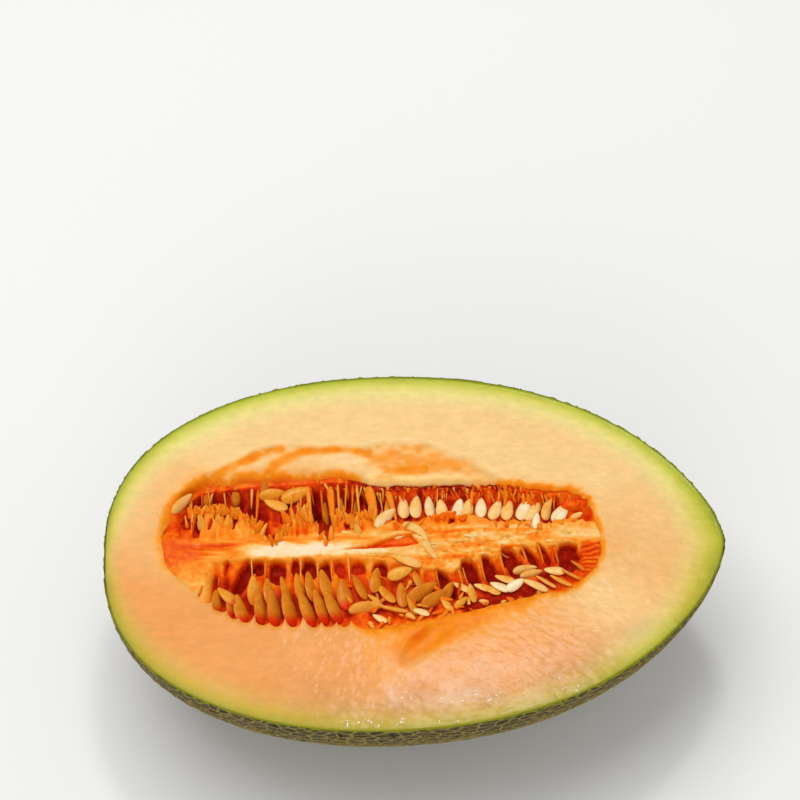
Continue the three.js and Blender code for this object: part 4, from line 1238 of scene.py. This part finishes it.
# Strips that stand in the far trough: root x and y, tip x and y, width and tone.
FAR_DRAPES = np.array([
    (-83.5, 24, -82.4, 9, 0.8, 0.34), (-76.4, 28, -75.2, 17, 0.7, 0.42), (-70.6, 28, -69.6, 17, 0.7, 0.36),
    (-57.6, 27, -58.5, 12, 1.5, 0.5), (-44.4, 28, -46, 12, 0.9, 0.42), (-41.5, 28, -42.4, 13, 0.9, 0.4),
    (-39.2, 28, -37.8, 11, 2.0, 0.4), (-34.2, 27, -33.6, 14, 1.0, 0.5), (-30.8, 28, -29.6, 9.5, 3.2, 0.44),
    (-27.9, 28.5, -27.7, 11, 1.1, 0.36), (-24.6, 28.5, -25.4, 14, 0.9, 0.44),
    (-20.7, 28, -19.5, 10, 1.2, 0.36), (-22.4, 28, -23.2, 14, 1.0, 0.5),
    (-16.6, 27.5, -13.6, 10.5, 4.6, 0.42), (-12.2, 27, -11.2, 15, 0.9, 0.4),
    (-9.4, 26.5, -6.4, 12, 2.8, 0.42), (-4.8, 26.5, -4.0, 13, 1.0, 0.34),
    (1.4, 26, 1.0, 14, 0.9, 0.42), (9.4, 26, 9.4, 15.5, 0.9, 0.38),
    (22.4, 25, 21.4, 14.5, 1.6, 0.46), (35.4, 23.5, 33.6, 13, 1.8, 0.48),
    (41.2, 22.5, 40.6, 12, 1.4, 0.42),
], float)
# Thin threads from the near edge of the top down to the seeds, in the same order of values.
NEAR_THREADS = np.array([
    (-71.6, -2, -72.6, -11, 0.8, 0.4), (-60.3, -1.6, -60.0, -9, 0.7, 0.3),
    (-54.9, -1.6, -55.4, -10, 1.0, 0.44), (-46.6, -1.6, -47, -10, 0.8, 0.4),
    (-42.2, -1.6, -42.6, -10.5, 0.8, 0.34), (-35.9, -2, -36, -11, 0.9, 0.34),
    (-30.4, -2, -30.6, -11, 1.0, 0.4), (-24.6, -2, -24.2, -11, 0.9, 0.3),
    (-17.4, -2.4, -17, -12, 1.2, 0.4), (7.4, -6, 9.2, -15, 1.2, 0.44),
    (15.6, -7, 17.6, -14.5, 1.4, 0.42), (17.6, -6, 19.8, -14, 0.8, 0.34),
    (24, -3.4, 26, -12.6, 1.2, 0.44), (31.2, -1.6, 33.6, -10.4, 1.4, 0.44),
    (39.4, 0.6, 42, -7, 1.2, 0.46), (45.4, 1.4, 47.6, -6, 1.2, 0.48),
    (51, 1.4, 53.2, -7, 1.4, 0.5),
], float)
groups_of_strips = [
    flaps(40, -87, -10, 1, 101, 3.4, 2.0, 4.6, 1.7, -0.2, 0.48, -0.12),
    flaps(32, -85, -12, 1, 111, 2.5, 2.4, 3.6, 3.0, -0.4, 0.52, -0.06),
    flaps(16, -8, 60, 1, 131, 2.5, 1.0, 1.0, 2.2, 0.6, 0.5, -0.04),
    fur(44, -88, -12, 6.0, 301),
    drapes(FAR_DRAPES, 341),
    drapes(NEAR_THREADS, 351),
    scraps(34, (-24, 20), (-17, -17, 7), 4, 1.8, 0.5, 221),
    scraps(18, (-17, 46), (-28, -19.5, 0.8), 3.4, 2.4, 0.4, 231),
    stalks(60, -20, 56, 4.8, 171),
    stalks(14, -83, -24, 5.0, 271),
    knobs(30, -36, 36, 1.3, 0.44, 191),
    knobs(24, 20, 64, 1.7, 0.5, 201),
    fibres_on_band(20, 181),
    strips(*fold_places, FOLD_WIDTH, FOLD_THICKNESS, np.zeros(2), np.full(2, FOLD_TONE)),
]
strip_points, strip_tone = (np.concatenate(part) for part in zip(*groups_of_strips))
strip_count = len(strip_points) // (STATIONS * STRAND_CORNERS)
strand_piece = surface(
    "strands", strip_points, tube_faces(strip_count, STATIONS, STRAND_CORNERS), {"tone": strip_tone},
)
strand_piece.data.materials.append(wet_pulp)
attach(strand_piece, "root")


# Seeds
# Flat drop-shaped seeds of 5 to 16 mm, ripe and wet. Most still sit in their rows, held by the
# pulp at one end; some were loosened by the knife and lie in a jumble.

SEED = {"length": 13.0, "width": 5.9, "thickness": 2.0, "point": 0.28}
SEED_RISE = 1.1  # no seed stands further than this over the cut plane
SEED_STATIONS = 20
SEED_CORNERS = 20
# Rows of seeds: count, x, y, lift over the pulp, lean, lean spread, dip, roll, roll spread, size,
# tone (0 amber to 1 cream) and gel (how red the blunt end is). Pairs run from first to last.
SEED_ROWS = [
    (6, (-60, -32.5), (-13.5, -13), 1.1, (2, 14), 8, 4, 36, 16, 0.95, 0.15, 0.3),
    (13, (-3, 55), (18.3, 15.2), 1.7, (0, -26), 12, -12, 14, 22, 0.79, 0.8, 0.0),
    (5, (-32, -9), (18.5, 18.5), 1.3, (2, -4), 8, -12, 62, 14, 0.8, 0.2, 0.2),
    (3, (-77, -57), (26, 26.6), 0.9, (-5, 5), 6, 32, 20, 10, 0.64, 0.0, 0.0),
]
ROW_SPREAD = {"x": 0.2, "y": 0.8, "lift": 0.3, "size": 0.1, "tone": 0.2}
# Seeds placed one by one: x, y, lift, lean, roll, size and tone.
NEAR_ROW = [
    (-77.7, -14.3, 1.2, -17, 40, 0.68, 0.0), (-73.2, -18.6, 1.8, 0, 40, 0.76, 0.0),
    (-68.9, -16.6, 3.2, 46, 20, 0.8, 0.3), (-68, -20, 1.8, 5, 45, 0.78, 0.0),
    (-64.5, -21.6, 2, 13, 30, 0.94, 0.1), (-57.2, -21, 2, 5, 48, 1.08, 0.1),
    (-52.2, -21.6, 2, 5, 45, 1.18, 0.05), (-46.7, -21.6, 2, 12, 42, 1.18, 0.1),
    (-40.2, -22.2, 2, 18, 45, 1.22, 0.15), (-35, -21.3, 1.9, 16, 45, 1.16, 0.1),
    (-30.6, -21.3, 1.8, 21, 40, 1.14, 0.1), (-26.3, -16.2, 1.5, 10, 12, 1.0, 0.0),
]
LOOSE_SEEDS = [
    (-5.7, -9.7, 2.6, -70, 20, 0.75, 0.45), (-2.9, -4.6, 1.3, 67, 30, 0.92, 0.6),
    (0.6, -11.9, 1.7, 20, 20, 0.55, 0.1), (-11, -16.4, 1.7, 40, 30, 0.78, 0.25),
    (-5.1, -17.4, 1.8, 4, 16, 0.78, 0.05), (2.6, -16.4, 2.2, -60, 36, 0.95, 0.0),
    (6.8, -19.4, 2, -58, 40, 0.88, 0.0), (10.9, -21.5, 1.4, 30, 20, 0.52, 0.5),
    (16.4, -21.3, 1.2, -50, 30, 0.48, 0.3), (20.6, -17.4, 1.6, 10, 30, 0.6, 0.45),
    (17, -14.8, 1.7, 60, 20, 0.55, 0.6), (1.6, -24.8, 1.5, 70, 20, 0.52, 0.8),
    (-8.3, -23.3, 1.9, 76, 60, 0.86, 0.4), (-18.5, -22.2, 1.9, -82, 62, 1.0, 0.45),
    (-13.5, -26.8, 1.3, 60, 10, 0.46, 0.8), (-14.6, -11.4, 1.6, -10, 24, 0.78, 0.1),
    (-20.5, -13.5, 1.5, 24, 40, 0.85, 0.1), (-15.1, -18.7, 1.7, 50, 30, 0.5, 0.4),
    (11.5, -16.5, 1.4, -30, 30, 0.7, 0.1), (-1.5, -21.5, 1.4, 20, 40, 0.7, 0.2),
    (24.8, -15.1, 1.6, 70, 20, 0.55, 0.7), (27.6, -16.2, 1.5, 60, 24, 0.6, 0.5),
    (31, -15.3, 1.6, 65, 16, 0.62, 0.85), (33, -12.3, 2.2, 70, 24, 0.62, 0.55),
    (36.6, -15, 1.8, -58, 14, 0.62, 1.0), (40.4, -8.6, 1.8, -80, 60, 0.7, 0.65),
    (42.6, -10.4, 1.6, -76, 58, 0.66, 0.6), (43.9, -15.5, 1.7, 62, 35, 0.8, 0.7),
    (47.9, -14.2, 1.5, 55, 55, 0.66, 0.6), (51.3, -9.6, 1.9, 82, 8, 0.6, 0.7),
    (53.4, -14, 1.3, 60, 50, 0.7, 0.45), (57.1, -11.6, 1.4, 58, 60, 0.62, 0.4),
    (60, -8, 1.3, 50, 50, 0.5, 0.2), (-86, 21.5, 1, -44, 58, 0.82, 0.6),
    (-51.1, 21, 1.5, 65, 10, 0.74, 0.42), (-43.6, 25, 1.5, -68, 18, 0.9, 0.3),
    (-52.6, 25, 1.2, -80, 30, 0.75, 0.2), (-10.5, 13, 1.2, -48, 40, 0.8, 0.8),
    (45.5, 10.3, 1.3, -12, 12, 0.5, 1.0), (54.5, 14.2, 1.7, -40, 16, 0.7, 0.9),
    (60.5, 12.6, 1.2, -60, 20, 0.42, 0.7),
]


def seed_row(row, kind):
    """Places and turns of a row's seeds, spread by the draw."""
    count, xs, ys, lift, leans, lean_spread, dip, roll, roll_spread, size, tone, gel = row
    n = np.arange(count)
    t = n / (count - 1)
    pitch = (xs[1] - xs[0]) / (count - 1)
    x = mix(xs[0], xs[1], t) + ROW_SPREAD["x"] * pitch * draw(n, kind)
    y = mix(ys[0], ys[1], t) + ROW_SPREAD["y"] * draw(n, kind + 1)
    return np.column_stack([
        x, y, lift + ROW_SPREAD["lift"] * draw(n, kind + 2),
        mix(leans[0], leans[1], t) + lean_spread * draw(n, kind + 3),
        np.full(count, dip), roll + roll_spread * draw(n, kind + 4),
        size * (1 + ROW_SPREAD["size"] * draw(n, kind + 5)),
        clip(tone + ROW_SPREAD["tone"] * draw(n, kind + 6)), np.full(count, gel),
    ])


def placed(table, gel):
    """Seeds of a table, with no dip and one share of gel, in the order of a row's values."""
    rows = np.array(table, float)
    nothing = np.zeros(len(rows))
    return np.column_stack([rows[:, :4], nothing, rows[:, 4:7], nothing + gel])


seeds_in_rows = np.vstack([seed_row(row, 10 * (k + 1)) for k, row in enumerate(SEED_ROWS)])
every_seed = np.vstack([seeds_in_rows, placed(NEAR_ROW, 1), placed(LOOSE_SEEDS, 0)])
sx, sy, lift, lean, dip, roll, size, seed_tone, gel = every_seed.T
lean, dip, roll = np.radians(lean), np.radians(dip), np.radians(roll)


def turned(vectors):
    """Vectors of a seed's own frame after its roll about Y, dip about X and lean about Z."""
    vx, vy, vz = vectors
    vx, vz = vx * np.cos(roll) + vz * np.sin(roll), vz * np.cos(roll) - vx * np.sin(roll)
    vy, vz = vy * np.cos(dip) - vz * np.sin(dip), vy * np.sin(dip) + vz * np.cos(dip)
    vx, vy = vx * np.cos(lean) - vy * np.sin(lean), vx * np.sin(lean) + vy * np.cos(lean)
    return np.column_stack([vx, vy, vz])


zero, one = np.zeros(len(lean)), np.ones(len(lean))
long_way = turned((zero, one, zero))
wide_way = turned((one, zero, zero))
thick_way = turned((zero, zero, one))
place_of = at_depth(sx, sy, pulp_depth(sx, sy) - lift)
u = -np.cos(np.linspace(0.02, np.pi - 0.02, SEED_STATIONS))
round_it = np.linspace(0, 2 * np.pi, SEED_CORNERS, endpoint=False)
belly = np.sqrt(1 - u**2) * (1 - SEED["point"] * u)
flat_way = belly[:, None] * np.cos(round_it) * SEED["width"] / 2
# A thin margin runs round the seed: its sides are drawn in before they reach the edge.
plump = np.sin(round_it) * (0.25 + 0.75 * np.abs(np.sin(round_it)))
thick_here = (belly**0.6)[:, None] * plump * SEED["thickness"] / 2
length_here = u[:, None] * SEED["length"] / 2
warp = 0.35 * draw(np.arange(len(sx)), 201)
thick_bent = thick_here[None] + warp[:, None, None] * (u[:, None] ** 2 - 0.4)
seed_points = place_of[:, None, None] + size[:, None, None, None] * (
    long_way[:, None, None] * length_here[None, ..., None]
    + wide_way[:, None, None] * flat_way[None, ..., None]
    + thick_way[:, None, None] * thick_bent[..., None]
)
too_high = seed_points[..., 2].max(axis=(1, 2)) - CUT_HEIGHT - SEED_RISE
seed_points[..., 2] -= np.maximum(too_high, 0)[:, None, None]
per_seed = SEED_STATIONS * SEED_CORNERS
blunt = rise(u, -0.15, -0.65) * gel[:, None]
margin = np.abs(np.cos(round_it)) ** 4
seeds = surface(
    "seeds", seed_points.reshape(-1, 3), tube_faces(len(sx), SEED_STATIONS, SEED_CORNERS), {
        "pale": np.repeat(seed_tone, per_seed),
        "gel": np.repeat(blunt, SEED_CORNERS),
        "margin": np.tile(margin, len(sx) * SEED_STATIONS),
    },
)

# Seed coats: smooth, wet and a little translucent. Amber ones are soaked in the red gel of their
# sockets, and cream ones were wiped clean by the knife.
seed_coat = new_material("wet_seed_coat")
pale_value = add(seed_coat, "Attribute", attribute_name="pale", out="Fac")
gel_value = add(seed_coat, "Attribute", attribute_name="gel", out="Fac")
margin_value = add(seed_coat, "Attribute", attribute_name="margin", out="Fac")
place = add(seed_coat, "TexCoord", out="Object")
mottle = add(seed_coat, "TexNoise", {"Vector": place, "Scale": 380, "Detail": 3, "Roughness": 0.55})
shift = add(seed_coat, "Math", {0: mottle, 1: -0.5}, operation="ADD")
shifted = add(seed_coat, "Math", {
    0: shift, 1: 0.7, 2: pale_value,
}, operation="MULTIPLY_ADD", use_clamp=True)
coat_colour = add(seed_coat, "ValToRGB", {"Fac": shifted}, stops=[
    (0.0, "d07414"), (0.25, "e6901c"), (0.5, "f4b044"), (0.75, "f8cc80"), (1.0, "fae8be"),
])
margin_amount = add(seed_coat, "Math", {0: margin_value, 1: 0.45}, operation="MULTIPLY")
coat_colour = add(seed_coat, "Mix", {
    0: margin_amount, 6: coat_colour, 7: linear("e07818"),
}, data_type="RGBA", out=2)
coat_colour = add(seed_coat, "Mix", {
    0: gel_value, 6: coat_colour, 7: linear("d82400"),
}, data_type="RGBA", out=2)
film_of_water = add(seed_coat, "MapRange", {
    "Value": gel_value, "From Min": 0.0, "From Max": 0.6, "To Min": 0.32, "To Max": 0.05,
})
shader = add(seed_coat, "BsdfPrincipled", {
    "Base Color": coat_colour, "Roughness": 0.34, "IOR": 1.4, "Specular IOR Level": 0.2,
    "Specular Tint": linear("ffd09a"), "Subsurface Weight": 0.2, "Subsurface Radius": (1.0, 0.5, 0.2),
    "Subsurface Scale": 0.0012, "Coat Weight": film_of_water, "Coat Roughness": 0.1, "Coat IOR": 1.36,
})
add(seed_coat, "OutputMaterial", {"Surface": shader})
seeds.data.materials.append(seed_coat)
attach(seeds, "root")


# Juice
# Clear juice that stands in beads on the cut, most of them low on the flesh. They are water with
# sugar, each a flat dome held by its own skin.

BEAD_STATIONS = 10
BEAD_CORNERS = 16
# Patches of beads: middle x and y, half length, half width, count and bead radius.
BEAD_PATCHES = [
    (-16, -68.2, 12, 1.6, 16, 0.8), (10, -68.6, 4, 0.6, 3, 0.7), (22, -60, 7, 1.6, 12, 0.75),
    (54, -57, 5, 1.6, 7, 0.8), (0, -60, 20, 3, 14, 0.6), (38, -46, 26, 9, 16, 0.4),
]
bead_rows = []
for number, (px, py, half_x, half_y, count, radius) in enumerate(BEAD_PATCHES):
    n = np.arange(count)
    kind = 211 + 4 * number
    bead_rows.append(np.column_stack([
        px + half_x * draw(n, kind), py + half_y * draw(n, kind + 1),
        radius * (1 + 0.4 * draw(n, kind + 2)), 90 * draw(n, kind + 3),
    ]))
bx, by, bead_radius, bead_turn = np.vstack(bead_rows).T
middle_up = np.linspace(-0.98, 0.98, BEAD_STATIONS)
round_it = np.linspace(0, 2 * np.pi, BEAD_CORNERS, endpoint=False)
level = np.sqrt(1 - middle_up**2)
local_x = (level[:, None] * np.cos(round_it))[None] * bead_radius[:, None, None] * 1.35
local_y = (level[:, None] * np.sin(round_it))[None] * bead_radius[:, None, None] * 0.8
turn = np.radians(bead_turn)[:, None, None]
bead_x = bx[:, None, None] + local_x * np.cos(turn) - local_y * np.sin(turn)
bead_y = by[:, None, None] + local_x * np.sin(turn) + local_y * np.cos(turn)
sink = CUT_HEIGHT - face_depth(bx, by)
bead_z = sink[:, None, None] + (middle_up[:, None] * 0.45)[None] * bead_radius[:, None, None]
bead_z = np.broadcast_to(bead_z, bead_x.shape)
beads = surface(
    "juice_beads", np.stack([bead_x, bead_y, bead_z], axis=-1).reshape(-1, 3),
    tube_faces(len(bx), BEAD_STATIONS, BEAD_CORNERS), {},
)

# Melon juice: clear, with hardly any colour in beads this small.
juice = new_material("melon_juice")
clear = add(juice, "BsdfTransparent")
mirror = add(juice, "BsdfGlossy", {"Roughness": 0.1})
outer_side = add(juice, "NewGeometry", out="Backfacing")
share = add(juice, "MapRange", {"Value": outer_side, "To Min": 0.12, "To Max": 0.0})
shader = add(juice, "MixShader", {0: share, 1: clear, 2: mirror})
add(juice, "OutputMaterial", {"Surface": shader})
beads.data.materials.append(juice)
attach(beads, "root")


# Floor, light and camera
# A pale floor that goes on past the picture, a wide soft light overhead and a fill from the
# front. The camera looks down on the cut face at the angle at which it is photographed.

FACE_MIDDLE = Vector((0, 0, CUT_HEIGHT * MM))
VIEW_ELEVATION = np.radians(65)
VIEW_AZIMUTH = -0.031
VIEW_DISTANCE = 1.108
PIXEL = VIEW_DISTANCE / 3000  # of the 800 in the picture, at the face's distance
FACE_PIXEL = (414.5, 548.25)  # where the middle of the cut plane lies in the picture
PICTURE_MIDDLE = 400

floor_mesh = bpy.data.meshes.new("floor")
floor_mesh.from_pydata([(-6, -6, 0), (6, -6, 0), (6, 6, 0), (-6, 6, 0)], [], [(0, 1, 2, 3)])
floor = bpy.data.objects.new("floor", floor_mesh)
bpy.context.scene.collection.objects.link(floor)
paper = new_material("white_paper")
shader = add(paper, "BsdfPrincipled", {"Base Color": linear("f4f4f2"), "Roughness": 0.8})
add(paper, "OutputMaterial", {"Surface": shader})
floor.data.materials.append(paper)


def soft_light(name, place, size, power, target=(0, 0, 0.04)):
    """A rectangular lamp at a place, in metres, that faces its target."""
    lamp = bpy.data.lights.new(name, "AREA")
    lamp.shape = "RECTANGLE"
    lamp.size, lamp.size_y = size
    lamp.energy = power
    holder = bpy.data.objects.new(name, lamp)
    bpy.context.scene.collection.objects.link(holder)
    holder.location = place
    holder.rotation_mode = "QUATERNION"
    holder.rotation_quaternion = (Vector(target) - Vector(place)).to_track_quat("-Z", "Y")


soft_light("overhead", (-0.25, 0.3, 1.5), (1.1, 0.9), 11.5)
soft_light("front_fill", (-0.3, -1.4, 0.9), (1.2, 0.8), 3.9)
soft_light("sheen", (0.064, 0.48, 1.35), (0.16, 0.1), 2.2)

sky = bpy.data.worlds.new("studio")
sky.use_nodes = True
sky.node_tree.nodes["Background"].inputs["Color"].default_value = (1, 1, 1, 1)
sky.node_tree.nodes["Background"].inputs["Strength"].default_value = 0.44
bpy.context.scene.world = sky
bpy.context.scene.view_settings.view_transform = "Standard"

toward_camera = Vector((
    np.sin(VIEW_AZIMUTH) * np.cos(VIEW_ELEVATION),
    -np.cos(VIEW_AZIMUTH) * np.cos(VIEW_ELEVATION),
    np.sin(VIEW_ELEVATION),
))
right = Vector((0, 0, 1)).cross(toward_camera).normalized()
upward = toward_camera.cross(right)
aim = FACE_MIDDLE + right * (PICTURE_MIDDLE - FACE_PIXEL[0]) * PIXEL
aim = aim + upward * (FACE_PIXEL[1] - PICTURE_MIDDLE) * PIXEL
lens = bpy.data.cameras.new("camera")
lens.lens = 135
lens.sensor_width = 36
lens.clip_start, lens.clip_end = 0.05, 50
camera = bpy.data.objects.new("camera", lens)
bpy.context.scene.collection.objects.link(camera)
camera.location = FACE_MIDDLE + toward_camera * VIEW_DISTANCE
camera.rotation_mode = "QUATERNION"
back = (camera.location - aim).normalized()
side = upward.cross(back).normalized()
camera.rotation_quaternion = Matrix((side, back.cross(side), back)).transposed().to_quaternion()
bpy.context.scene.camera = camera
